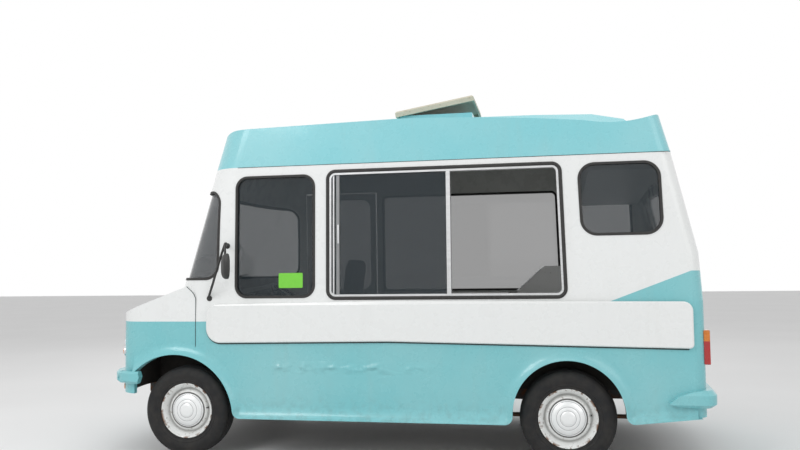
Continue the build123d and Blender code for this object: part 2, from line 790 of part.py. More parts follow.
# Roof: a moulding with a front brow, a raised centre, a ducktail and an upstand for the hatch
ROOF_WALL = 40.0
HATCH_X0 = F + 1480.0
HATCH_X1 = F + 2042.0
HATCH_HALF = 300.0
HATCH_TOP = 2508.0
HATCH_WALL = 24.0


def roof_form(inset, drop):
    """Outer form of the roof, moved inwards and down."""
    with BuildPart() as edge_cut:
        with BuildSketch(Plane.XZ) as side:
            with BuildLine():
                Line((F - 400, CANT_Z), (F - 400, 2150 - drop))
                Line((F - 400, 2150 - drop), (F + 60, 2150 - drop))
                ThreePointArc((F + 60, 2150 - drop), (F + 200, 2285 - drop), (F + 400, 2339 - drop))
                Line((F + 400, 2339 - drop), (F + 1590, 2364 - drop))
                ThreePointArc((F + 1590, 2364 - drop), (F + 2130, 2347 - drop), (F + 2842, 2292 - drop))
                ThreePointArc((F + 2842, 2292 - drop), (F + 3101, 2272 - drop), (F + 3309, 2312 - drop))
                Line((F + 3309, 2312 - drop), (F + 3600, 2345 - drop))
                Line((F + 3600, 2345 - drop), (F + 3600, CANT_Z))
                Line((F + 3600, CANT_Z), (F - 400, CANT_Z))
            make_face()
        extrude(amount=REACH, both=True)
    with BuildPart() as raised_cut:
        with BuildSketch(Plane.XZ) as side:
            with BuildLine():
                Line((F + 480, 2250 - drop), (F + 760, 2386 - drop))
                ThreePointArc((F + 760, 2386 - drop), (F + 1750, 2420 - drop), (F + 2910, 2387 - drop))
                Line((F + 2910, 2387 - drop), (F + 3170, 2310 - drop))
                Line((F + 3170, 2310 - drop), (F + 3170, 2250 - drop))
                Line((F + 3170, 2250 - drop), (F + 480, 2250 - drop))
            make_face()
        extrude(amount=REACH, both=True)
    with BuildPart() as raised:
        with BuildSketch(Plane.XY.offset(2250 - drop)):
            with Locations((F + 1825, 0)):
                Rectangle(2700 - 2 * drop, 1660 - 2 * drop)
        with BuildSketch(Plane.XY.offset(2440 - drop)):
            with Locations((F + 1855, 0)):
                Rectangle(2350 - 2 * drop, 1080 - 2 * drop)
        loft(ruled=True)
    return (body_solid(inset, 3, 4) & edge_cut.part) + (raised.part & raised_cut.part)


LID_PLATE = 22.0
LID_RIM = 24.0
LID_REST = 9.5
LID_OVER = 28.0
LID_HINGE = (HATCH_X0 - LID_OVER - 14, HATCH_TOP + 6 - LID_RIM - 4)
LID_HINGE_Y = 170.0


def lid_hinge_plane(y):
    """Plane of one of the roof lid's hinges."""
    return Plane(origin=(LID_HINGE[0], y, LID_HINGE[1]), x_dir=(1, 0, 0), z_dir=(0, 1, 0))


ROOF_OUTER = roof_form(0, 0)
ROOF_INNER = roof_form(WALL, ROOF_WALL)
with BuildPart() as roof:
    add(ROOF_OUTER)
    block(HATCH_X0, HATCH_X1, -HATCH_HALF, HATCH_HALF, 2330, HATCH_TOP)
    add(ROOF_INNER, mode=Mode.SUBTRACT)
    block(
        HATCH_X0 + HATCH_WALL,
        HATCH_X1 - HATCH_WALL,
        -HATCH_HALF + HATCH_WALL,
        HATCH_HALF - HATCH_WALL,
        2200,
        2600,
        mode=Mode.SUBTRACT,
    )
    for y in (-LID_HINGE_Y, LID_HINGE_Y):
        add(hinge_fixed(lid_hinge_plane(y), ((-8, LID_OVER + 14, 14, 28), (-8, 8, 0, 28))))
save(roof.part, "roof")

# Roof hatch lid, a tray over the upstand, hinged at its front edge and standing a little open
with BuildPart() as closed_lid:
    block(
        HATCH_X0 - LID_OVER,
        HATCH_X1 + LID_OVER,
        -HATCH_HALF - LID_OVER,
        HATCH_HALF + LID_OVER,
        HATCH_TOP + 6 - LID_RIM,
        HATCH_TOP + 6 + LID_PLATE,
    )
    chamfer(closed_lid.edges().group_by(Axis.Z)[-1], 12)
    block(
        HATCH_X0 - 10,
        HATCH_X1 + 10,
        -HATCH_HALF - 10,
        HATCH_HALF + 10,
        HATCH_TOP - LID_RIM,
        HATCH_TOP + 6,
        mode=Mode.SUBTRACT,
    )
    for y in (-LID_HINGE_Y, LID_HINGE_Y):
        add(hinge_moving(lid_hinge_plane(y), ((3, 16, -14, -4),)))
with BuildPart() as hatch_lid:
    add(closed_lid.part.rotate(Axis((LID_HINGE[0], 0, LID_HINGE[1]), (0, -1, 0)), LID_REST))
save(hatch_lid.part, "hatch_lid")

# Rubber seals of the fixed windows
SEAL_BAND = body_solid(-SEAL_PROUD, 1, 3) - body_solid(WALL + 4, 1, 3)
GLASS_BAND = body_solid(GLASS_INSET, 1, 3) - body_solid(GLASS_INSET + GLASS, 1, 3)
with BuildPart() as window_seals:
    for row in (CAB_WINDOW, QUARTER_WINDOW):
        add((window(row, 0, -REACH, -700) - window(row, -SEAL, -REACH, -700)) & SEAL_BAND)
    for row in (SERVING_WINDOW, QUARTER_WINDOW):
        add((window(row, 0, 700, REACH) - window(row, -SEAL, 700, REACH)) & SEAL_BAND)
    add((window(SCREEN, 0, -REACH, REACH) - window(SCREEN, -SEAL, -REACH, REACH)) & SEAL_BAND)
    add((REAR_WINDOW_LEFT - REAR_WINDOW_LEFT_GLASS) & SEAL_BAND)
save(window_seals.part, "window_seals")

# Serving window's panes, slid to its front half, one behind the other
FRAME = 26.0
DIVIDER_X = 1925.0
PANE_BANDS = (8.0, 24.0)
FRONT_HALF_END = DIVIDER_X - 14
FRONT_HALF = prism(
    ((1000, 1000), (1000, 2100), (FRONT_HALF_END, 2100), (FRONT_HALF_END, 1000)), -REACH, -700
)

# Fixed glass of the windscreen, sides and rear, and the serving window's panes
with BuildPart() as fixed_glass:
    add(window(SCREEN, -SEAL, -REACH, REACH) & GLASS_BAND)
    for row in (CAB_WINDOW, QUARTER_WINDOW):
        add(window(row, -SEAL, -REACH, -700) & GLASS_BAND)
    for row in (SERVING_WINDOW, QUARTER_WINDOW):
        add(window(row, -SEAL, 700, REACH) & GLASS_BAND)
    add(REAR_WINDOW_LEFT_GLASS & GLASS_BAND)
    for inset in PANE_BANDS:
        pane = body_solid(inset, 1, 3) - body_solid(inset + GLASS, 1, 3)
        add(window(SERVING_WINDOW, -FRAME, -REACH, -700) & FRONT_HALF & pane)
save(fixed_glass.part, "fixed_glass")

# Glass of the two doors, seated in the door panels
with BuildPart() as driver_door_glass:
    add(window(DOOR_WINDOW, 0, 700, REACH) & GLASS_BAND)
save(driver_door_glass.part, "driver_door_glass")

with BuildPart() as rear_door_glass:
    add(REAR_WINDOW_RIGHT & GLASS_BAND)
save(rear_door_glass.part, "rear_door_glass")

# Serving window: aluminium frame with a divider
FRAME_BAND = body_solid(-2, 1, 3) - body_solid(WALL + 14, 1, 3)
with BuildPart() as serving_frame:
    add(window(SERVING_WINDOW, 0, -REACH, -700))
    add(window(SERVING_WINDOW, -FRAME, -REACH, -700), mode=Mode.SUBTRACT)
    block(F + DIVIDER_X - 14, F + DIVIDER_X + 14, -REACH, -700, 1125, 2000)
    add(FRAME_BAND, mode=Mode.INTERSECT)
save(serving_frame.part, "serving_frame")

# Floor with wheel houses
HOUSE_TOP = 728.0
HOUSE_INNER = 553.0
HOUSES = (
    (F - 385.0, F + 392.0, HOUSE_INNER + HOUSE_WALL, HOUSE_TOP),
    (R - 372.0, R + 372.0, 706.0, 712.0),
)
with BuildPart() as floor:
    extrude(Pos(0, 0, FLOOR_TOP - FLOOR) * body_section(0, HALF_WIDTH, 864, WALL), amount=FLOOR)
    block(F - 1500, BULKHEAD_X, -REACH, REACH, 400, 600, mode=Mode.SUBTRACT)
    for x0, x1, inner, top in HOUSES:
        blocks(x0 - HOUSE_WALL, x1 + HOUSE_WALL, inner - HOUSE_WALL, 930, 400, 600, mode=Mode.SUBTRACT)
    block(F - 400, F + 330, -250, 250, 400, 600, mode=Mode.SUBTRACT)
    add(NOSE_OUTER - NOSE_INNER, mode=Mode.SUBTRACT)
save(floor.part, "floor")

with BuildPart() as wheel_houses:
    for x0, x1, inner, top in HOUSES:
        over = top + HOUSE_WALL
        blocks(x0 - HOUSE_WALL, x1 + HOUSE_WALL, inner - HOUSE_WALL, 919, FLOOR_TOP - FLOOR, over)
        blocks(x0, x1, inner, 930, 400, top, mode=Mode.SUBTRACT)
    add(NOSE_OUTER - NOSE_INNER, mode=Mode.SUBTRACT)
save(wheel_houses.part, "wheel_houses")

# Steel boxes on the cab floor: the engine cover and the two seat boxes
SEAT_X = F + 470.0
SEAT_Y = 470.0
with BuildPart() as cab_boxes:
    block(BULKHEAD_X, F + 338, -258, 258, FLOOR_TOP, 905)
    chamfer(cab_boxes.edges().filter_by(Axis.X).group_by(Axis.Z)[-1], 40)
    block(BULKHEAD_X - 1, F + 330, -250, 250, FLOOR_TOP - 1, 850, mode=Mode.SUBTRACT)
    for y in (-SEAT_Y, SEAT_Y):
        block(SEAT_X, SEAT_X + 450, y - 235, y + 235, FLOOR_TOP, 800)
save(cab_boxes.part, "cab_boxes")

# Bulkhead with dashboard, binnacle and steering column
WHEEL_HUB = (F + 330.0, 470.0, 1060.0)
COLUMN_TILT = 38.0
COLUMN_DIR = Vector(math.sin(math.radians(COLUMN_TILT)), 0, math.cos(math.radians(COLUMN_TILT)))
with BuildPart() as dashboard:
    block(BULKHEAD_X - 8, BULKHEAD_X, -880, 880, FLOOR_TOP, 1110)
    block(BULKHEAD_X - 9, BULKHEAD_X + 1, -250, 250, FLOOR_TOP - 1, 850, mode=Mode.SUBTRACT)
    over = HOUSE_TOP + HOUSE_WALL
    blocks(BULKHEAD_X - 9, BULKHEAD_X + 1, HOUSE_INNER, 919, FLOOR_TOP - 1, over, Mode.SUBTRACT)
    block(BULKHEAD_X, F + 120, -880, 880, 960, 1110)
    block(F + 60, F + 190, 290, 640, 960, 1150)
    block(F + 60, F + 215, 400, 540, 850, 1000)
    chamfer(dashboard.edges().filter_by(Axis.Y).group_by(Axis.Z)[-1], 20)
    hub = Vector(*WHEEL_HUB)
    rod(hub - COLUMN_DIR * 250, hub - COLUMN_DIR * 12.3, 30)
save(dashboard.part, "dashboard")

# Steering wheel
with BuildPart() as steering_wheel:
    plane = Plane(origin=WHEEL_HUB, x_dir=(0, 1, 0), z_dir=COLUMN_DIR)
    rim_plane = Plane(origin=WHEEL_HUB, x_dir=(0, 1, 0), z_dir=plane.y_dir)
    with BuildSketch(rim_plane) as rim_section:
        with Locations((205, 0)):
            RegularPolygon(13, 8)
    revolve(axis=Axis(WHEEL_HUB, COLUMN_DIR))
    for turn in (90, 210, 330):
        tip = plane.from_local_coords(Vector(205, 0, 0).rotate(Axis.Z, turn))
        rod(WHEEL_HUB, tuple(tip), 9)
    rod(tuple(hub - COLUMN_DIR * 12), tuple(hub + COLUMN_DIR * 22), 42)
save(steering_wheel.part, "steering_wheel")

# Seats: cushions on their boxes, backs behind them
def cushion(x0, x1, z0, z1, half_width):
    """A padded block about the van's middle line with eased edges."""
    with BuildPart() as pad:
        block(x0, x1, -half_width, half_width, z0, z1)
        chamfer(pad.edges(), 24)
    return pad.part


SEAT_PAD = cushion(SEAT_X - 10, SEAT_X + 430, 800, 900, 240)
SEAT_BACK_TURN = Axis((SEAT_X + 400, 0, 902), (0, 1, 0))
SEAT_BACK = cushion(SEAT_X + 345, SEAT_X + 445, 900.6, 1440, 235).rotate(SEAT_BACK_TURN, 8)
with BuildPart() as seats:
    for y in (-SEAT_Y, SEAT_Y):
        add(Pos(0, y, 0) * SEAT_PAD)
        add(Pos(0, y, 0) * SEAT_BACK)
save(seats.part, "seats")

# Overhead locker at the rear, closed, with a bottom that slopes down to the right wall
LOCKER_FRONT = F + 2880.0
LOCKER_DOOR_REAR = F + 3372.0
LOCKER_DOOR_SIDE = REAR_DOOR_LEFT - 30.0
# Corners of its bottom in Y and Z, at its inner edge and beyond the right wall
LOCKER_BOTTOM = ((-600.0, 1992.0), (960.0, 1858.0))
SEAL_CLEAR = 3.0


def locker_form(high):
    """The locker's outline across the van up to a height, run back past the rear wall."""
    (inner, _), (outer, _) = LOCKER_BOTTOM
    with BuildPart() as form:
        with BuildSketch(Plane.YZ.offset(LOCKER_FRONT)):
            with BuildLine():
                Polyline(*LOCKER_BOTTOM, (outer, high), (inner, high), close=True)
            make_face()
        extrude(amount=REACH)
    return form.part


LOCKER_LOW = locker_form(CANT_Z) & INNER
LOCKER_HIGH = (locker_form(2400) - locker_form(CANT_Z)) & ROOF_INNER

# Servery: the counter behind the serving window, the work counter, a display freezer with a sloped front
# and the overhead locker
COUNTER_TOP = 1105.0
COUNTER_SLAB = 35.0
with BuildPart() as servery_units:
    block(F + 1130, F + 2700, -918, -520, FLOOR_TOP, COUNTER_TOP - COUNTER_SLAB)
    block(F + 1115, F + 2715, -918, -480, COUNTER_TOP - COUNTER_SLAB, COUNTER_TOP)
    blocks(R - 402, R + 402, 690, 930, 400, 730, Mode.SUBTRACT)
    block(F + 1180, F + 2230, 500, 918, FLOOR_TOP, COUNTER_TOP - COUNTER_SLAB)
    block(F + 1165, F + 2240, 470, 918, COUNTER_TOP - COUNTER_SLAB, COUNTER_TOP)
    add(prism(((2330, 740), (2330, 1120), (2560, 1330), (3120, 1330), (3120, 740)), 230, 880))
    block(F + 2330, F + 3120, 230, 680, FLOOR_TOP, 740)
    add(LOCKER_LOW)
    add(LOCKER_HIGH)
    block(LOCKER_DOOR_REAR, R + REACH, LOCKER_DOOR_SIDE, REACH, 1800, 2400, mode=Mode.SUBTRACT)
    add(
        window(QUARTER_WINDOW, SEAL_CLEAR, 700, REACH) - body_solid(WALL + SEAL_CLEAR + 4, 1, 3),
        mode=Mode.SUBTRACT,
    )
save(servery_units.part, "servery_units")

# Ladder chassis: two rails, cross members, outriggers to the sills and bumper irons
RAIL_X0 = F - 540.0
RAIL_X1 = R + 800.0
TOW_HOLE = 8.5
TOW_SPACING = 90.0
with BuildPart() as chassis:
    blocks(RAIL_X0, RAIL_X1, RAIL_Y - RAIL_WIDTH / 2, RAIL_Y + RAIL_WIDTH / 2, RAIL_LOW, RAIL_TOP)
    block(F - 520, F - 460, -RAIL_Y, RAIL_Y, RAIL_LOW, RAIL_TOP - 15)
    for x in (F + 680, F + 1180, F + 1900, R - 470, R + 440):
        block(x - 30, x + 30, -RAIL_Y, RAIL_Y, 430, RAIL_TOP)
    block(RAIL_X1 - 60, RAIL_X1, -430, 430, RAIL_LOW, RAIL_TOP)
    for y in (-TOW_SPACING / 2, TOW_SPACING / 2):
        rod((RAIL_X1 - 30, y, RAIL_LOW - 1), (RAIL_X1 - 30, y, RAIL_TOP + 1), TOW_HOLE, Mode.SUBTRACT)
    for x in (F + 680, F + 1180, F + 1900):
        blocks(x - 30, x + 30, RAIL_Y, 919, 430, RAIL_TOP)
    blocks(R + 780, R + 864, 300, 360, 440, RAIL_TOP)
save(chassis.part, "chassis")

# Front cross member with upper and lower arms out to the king pins
BALL_GAP = 0.3
LOWER_ARM_Z = 248.0
UPPER_ARM_Z = 446.0
with BuildPart() as front_suspension:
    block(F - 70, F + 70, -430, 430, 300, RAIL_LOW)
    blocks(F - 60, F + 60, 330, 470, 225, 300)
    blocks(F - 45, F + 45, 430, 470, 300, 470)
    for sign in (-1, 1):
        for x in (-48, 48):
            rod((F + x, sign * 470, LOWER_ARM_Z), (F, sign * 725, LOWER_ARM_Z), 13)
            rod((F + x * 0.7, sign * 470, UPPER_ARM_Z + 12), (F, sign * 725, UPPER_ARM_Z + 12), 11)
        rod((F, sign * KINGPIN_Y, LOWER_ARM_Z - 14), (F, sign * KINGPIN_Y, LOWER_ARM_Z + 14), 16)
        rod((F, sign * KINGPIN_Y, UPPER_ARM_Z), (F, sign * KINGPIN_Y, UPPER_ARM_Z + 24), 16)
        rod((F, sign * 560, LOWER_ARM_Z), (F, sign * 500, 440), 38)
save(front_suspension.part, "front_suspension")

# Knuckles with king pin post, stub axle, brake plate and steering arm
def knuckle_part(sign):
    """Knuckle of one side."""
    kingpin = sign * KINGPIN_Y
    arm = sign * (KINGPIN_Y - 15)
    with BuildPart() as knuckle:
        rod((F, kingpin, LOWER_ARM_Z + 14 + BALL_GAP), (F, kingpin, UPPER_ARM_Z - BALL_GAP), KINGPIN_RADIUS)
        rod((F, kingpin, AXLE_Z), (F, sign * (WHEEL_Y + 46), AXLE_Z), STUB_RADIUS)
        rod((F, sign * 762, AXLE_Z), (F, sign * 766, AXLE_Z), 118)
        block(F, F + STEER_ARM, arm - 11, arm + 11, 284, 300)
        rod((F + STEER_ARM, arm, 284), (F + STEER_ARM, arm, 300), 20)
    return knuckle.part


save(knuckle_part(-1), "knuckle_left")
save(knuckle_part(1), "knuckle_right")

# Track rod above the steering arms
with BuildPart() as track_rod:
    rod((F + 122, -735, 316), (F + 122, 735, 316), 9)
    for y in (-KINGPIN_Y + 15, KINGPIN_Y - 15):
        rod((F + 122, y, 300 + FIT), (F + 122, y, 326), 13)
save(track_rod.part, "track_rod")

# Rear axle with its drive case, leaf springs and shackles
SPRING_Y = 560.0
with BuildPart() as rear_axle:
    rod((R, -745, AXLE_Z), (R, 745, AXLE_Z), 38)
    for sign in (-1, 1):
        rod((R, sign * 740, AXLE_Z), (R, sign * (WHEEL_Y + 46), AXLE_Z), STUB_RADIUS)
        disc(R, AXLE_Z, 118, min(sign * 762, sign * 766), max(sign * 762, sign * 766))
        for level, reach in ((270, 560), (280, 430), (290, 300)):
            block(R - reach, R + reach, sign * SPRING_Y - 30, sign * SPRING_Y + 30, level, level + 10)
        block(R - 40, R + 40, sign * SPRING_Y - 34, sign * SPRING_Y + 34, 262, 330)
        for x in (R - 548, R + 548):
            block(x - 12, x + 12, sign * SPRING_Y - 24, sign * SPRING_Y + 24, 275, 480)
    with BuildSketch(Plane(origin=(R, 0, AXLE_Z), x_dir=(1, 0, 0), z_dir=(0, 0, 1))):
        Polygon((0, -150), (70, -100), (112, -40), (112, 40), (70, 100), (0, 150), align=None)
    revolve(axis=Axis((R, 0, AXLE_Z), (0, 1, 0)))
    rod((R - 170, 0, AXLE_Z), (R, 0, AXLE_Z), 60)
save(rear_axle.part, "rear_axle")

# Engine, one plain block on two mounts of the front cross member, with gearbox and propeller shaft
with BuildPart() as powertrain:
    block(F - 380, F + 180, -200, 200, 430, 845)
    blocks(F - 30, F + 30, 130, 180, RAIL_LOW, 430)
    with BuildSketch(Plane(origin=(F + 180, 0, 400), x_dir=(0, 1, 0), z_dir=(1, 0, 0))):
        Circle(110)
    with BuildSketch(Plane(origin=(F + 420, 0, 400), x_dir=(0, 1, 0), z_dir=(1, 0, 0))):
        Circle(55)
    loft()
    rod((F + 415, 0, 400), (F + 600, 0, 400), 55)
    rod((F + 590, 0, 400), (R - 173, 0, AXLE_Z), 28)
save(powertrain.part, "powertrain")

# Exhaust with silencer and tail pipe on the left
with BuildPart() as exhaust:
    rod((F + 330, -285, 350), (F + 1255, -285, 350), 24)
    rod((F + 1250, -285, 330), (F + 1750, -285, 330), 75)
    rod((F + 1745, -285, 345), (F + 2250, -285, 345), 22)
    for x in (F + 680, F + 1180, F + 1900):
        block(x - 10, x + 10, -300, -270, 350, 430)
save(exhaust.part, "exhaust")

# Fuel tank between the right rail and the sill
with BuildPart() as fuel_tank:
    block(F + 1220, F + 1860, 440, 760, 290, 470)
    fillet(fuel_tank.edges().filter_by(Axis.X), 35)
    for x in (F + 1350, F + 1730):
        block(x - 20, x + 20, 430, 770, 455, 480)
save(fuel_tank.part, "fuel_tank")

# Tail lamps on the rear cap
with BuildPart() as tail_lamps:
    blocks(R + 820, R + 900, 848, 915, 680, 900)
    add(body_solid(0, 0, 1), mode=Mode.SUBTRACT)
save(tail_lamps.part, "tail_lamps")

# Mirrors: one on tube arms on the left pillar, one on the driver's door
def mirror_head(x, y):
    """An upright oval head with an eased back."""
    with BuildPart() as head:
        with BuildSketch(Plane.YZ.offset(x - 24)):
            with Locations((y, 1350)):
                RectangleRounded(132, 180, 58)
        extrude(amount=48)
        chamfer(head.faces().sort_by(Axis.X)[0].edges(), 16)
    return head.part


with BuildPart() as mirror_left:
    add(mirror_head(F + 390, -1120))
    rod((F + 372, -1120, 1420), (F + 368, -1075, 1510), 9)
    rod((F + 368, -1075, 1510), (F + 330, -940, 1500), 9)
    rod((F + 368, -1075, 1510), (F + 296, -1060, 1316), 9)
    rod((F + 296, -1060, 1316), (F + 197, -960, 1124), 9)
    add(OUTER, mode=Mode.SUBTRACT)
save(mirror_left.part, "mirror_left")

with BuildPart() as mirror_right:
    add(mirror_head(F + 440, 1120))
    rod((F + 430, 1100, 1420), (F + 400, 945, 1500), 9)
    rod((F + 430, 1100, 1290), (F + 400, 945, 1180), 9)
    add(OUTER, mode=Mode.SUBTRACT)
save(mirror_right.part, "mirror_right")

# Wipers on the scuttle
with BuildPart() as wipers:
    for y in (-330, 250):
        rod((F - 222, y, 1120), (F - 222, y, 1146), 11)
        rod((F - 222, y, 1140), (F - 178, y + 240, 1262), 7)
        rod((F - 190, y - 30, 1250), (F - 172, y + 440, 1290), 6)
    add(OUTER, mode=Mode.SUBTRACT)
    add(NOSE_OUTER, mode=Mode.SUBTRACT)
save(wipers.part, "wipers")


def tyre_part(x, sign):
    """A tyre with its bore seated on the rim."""
    with BuildPart() as tyre:
        with BuildSketch(Plane(origin=(x, 0, AXLE_Z), x_dir=(1, 0, 0), z_dir=(0, 0, 1))) as section:
            with Locations(((FLANGE_RADIUS + TYRE_RADIUS) / 2, sign * WHEEL_Y)):
                Rectangle(TYRE_RADIUS - FLANGE_RADIUS, TYRE_WIDTH)
            chamfer(section.vertices().group_by(Axis.X)[-1], 22)
        revolve(axis=Axis((x, 0, AXLE_Z), (0, 1, 0)))
    return tyre.part


# Section of a wheel and its cap in one piece. Columns: radius, distance outwards from the wheel's middle
DRUM_BACK = WHEEL_Y - 772.0
STUB_END = 52.0
WHEEL_SECTION = (
    (FLANGE_RADIUS, RIM_HALF + FLANGE),
    (FLANGE_RADIUS, RIM_HALF),
    (RIM_RADIUS, RIM_HALF - FLANGE),
    (RIM_RADIUS, FLANGE - RIM_HALF),
    (FLANGE_RADIUS, -RIM_HALF),
    (FLANGE_RADIUS, -RIM_HALF - FLANGE),
    (RIM_RADIUS - RIM_SHEET, -RIM_HALF - FLANGE),
    (RIM_RADIUS - RIM_SHEET, 14.0),
    (150.0, 20.0),
    (HUB_RADIUS, 20.0),
    (HUB_RADIUS, -14.0),
    (DRUM_RADIUS, -20.0),
    (DRUM_RADIUS, -DRUM_BACK),
    (STUB_RADIUS + FIT, -DRUM_BACK),
    (STUB_RADIUS + FIT, STUB_END),
    (0.0, STUB_END),
    (0.0, 80.0),
    (52.0, 73.0),
    (80.0, 66.0),
    (HUB_CAP_RADIUS - 6, 55.0),
    (HUB_CAP_RADIUS, 44.0),
    (140.0, 43.0),
    (152.0, 27.0),
    (RIM_RADIUS - 16, 32.0),
    (RIM_RADIUS - 3, RIM_HALF - FLANGE),
    (FLANGE_RADIUS - 6, RIM_HALF + FLANGE),
)


def wheel_part(x, sign):
    """A pressed wheel with its well, flanges, dished disc, ringed cap, hub and brake drum."""
    with BuildPart() as wheel:
        with BuildSketch(Plane(origin=(x, 0, AXLE_Z), x_dir=(1, 0, 0), z_dir=(0, 0, 1))):
            with BuildLine():
                Polyline(*[(radius, sign * (WHEEL_Y + out)) for radius, out in WHEEL_SECTION], close=True)
            make_face()
        revolve(axis=Axis((x, 0, AXLE_Z), (0, 1, 0)))
    return wheel.part


# The four wheels and tyres
for place, x in (("front", F), ("rear", R)):
    for side_name, sign in (("left", -1), ("right", 1)):
        save(tyre_part(x, sign), f"tyre_{place}_{side_name}")
        save(wheel_part(x, sign), f"wheel_{place}_{side_name}")
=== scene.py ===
import math

import bmesh
import bpy
import numpy as np
from mathutils import Matrix, Vector
from mathutils.bvhtree import BVHTree


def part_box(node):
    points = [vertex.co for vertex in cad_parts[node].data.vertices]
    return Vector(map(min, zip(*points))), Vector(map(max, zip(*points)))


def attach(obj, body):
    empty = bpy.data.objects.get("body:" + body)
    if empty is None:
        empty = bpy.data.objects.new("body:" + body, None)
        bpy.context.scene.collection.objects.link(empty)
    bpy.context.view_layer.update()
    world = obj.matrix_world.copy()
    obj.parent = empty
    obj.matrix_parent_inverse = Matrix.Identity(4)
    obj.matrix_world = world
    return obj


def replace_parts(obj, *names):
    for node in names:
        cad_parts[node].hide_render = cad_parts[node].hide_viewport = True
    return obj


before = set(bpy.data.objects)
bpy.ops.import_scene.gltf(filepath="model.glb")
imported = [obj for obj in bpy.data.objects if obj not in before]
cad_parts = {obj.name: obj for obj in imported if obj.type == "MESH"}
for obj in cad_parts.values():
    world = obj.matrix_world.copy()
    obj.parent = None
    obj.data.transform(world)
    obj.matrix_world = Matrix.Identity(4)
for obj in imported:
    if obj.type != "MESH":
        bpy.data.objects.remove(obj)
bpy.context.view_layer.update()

# Camera: the photograph's viewpoint, beside the van at head height and turned a little towards the nose.
# Its place is in metres, its turns in radians and its focal length in pixels of the photograph.
CAMERA_PLACE = Vector((1.0821, -6.2098, 1.2956))
CAMERA_YAW = 0.18666
CAMERA_PITCH = 0.06017
CAMERA_ROLL = -0.01246
FOCAL_PIXELS = 780.0
FRAME_PIXELS = 800.0
SENSOR = 36.0

forward = Vector((-math.sin(CAMERA_YAW), math.cos(CAMERA_YAW), 0))
right = Vector((math.cos(CAMERA_YAW), math.sin(CAMERA_YAW), 0))
up = Vector((0, 0, 1))
aim = forward * math.cos(CAMERA_PITCH) + up * math.sin(CAMERA_PITCH)
top = up * math.cos(CAMERA_PITCH) - forward * math.sin(CAMERA_PITCH)
side = right * math.cos(CAMERA_ROLL) + top * math.sin(CAMERA_ROLL)
top = top * math.cos(CAMERA_ROLL) - right * math.sin(CAMERA_ROLL)
camera_data = bpy.data.cameras.new("camera")
camera_data.sensor_width = SENSOR
camera_data.lens = FOCAL_PIXELS / FRAME_PIXELS * SENSOR
camera = bpy.data.objects.new("camera", camera_data)
bpy.context.collection.objects.link(camera)
turn = Matrix((side, top, -aim)).transposed()
camera.matrix_world = Matrix.Translation(CAMERA_PLACE) @ turn.to_4x4()
bpy.context.scene.camera = camera


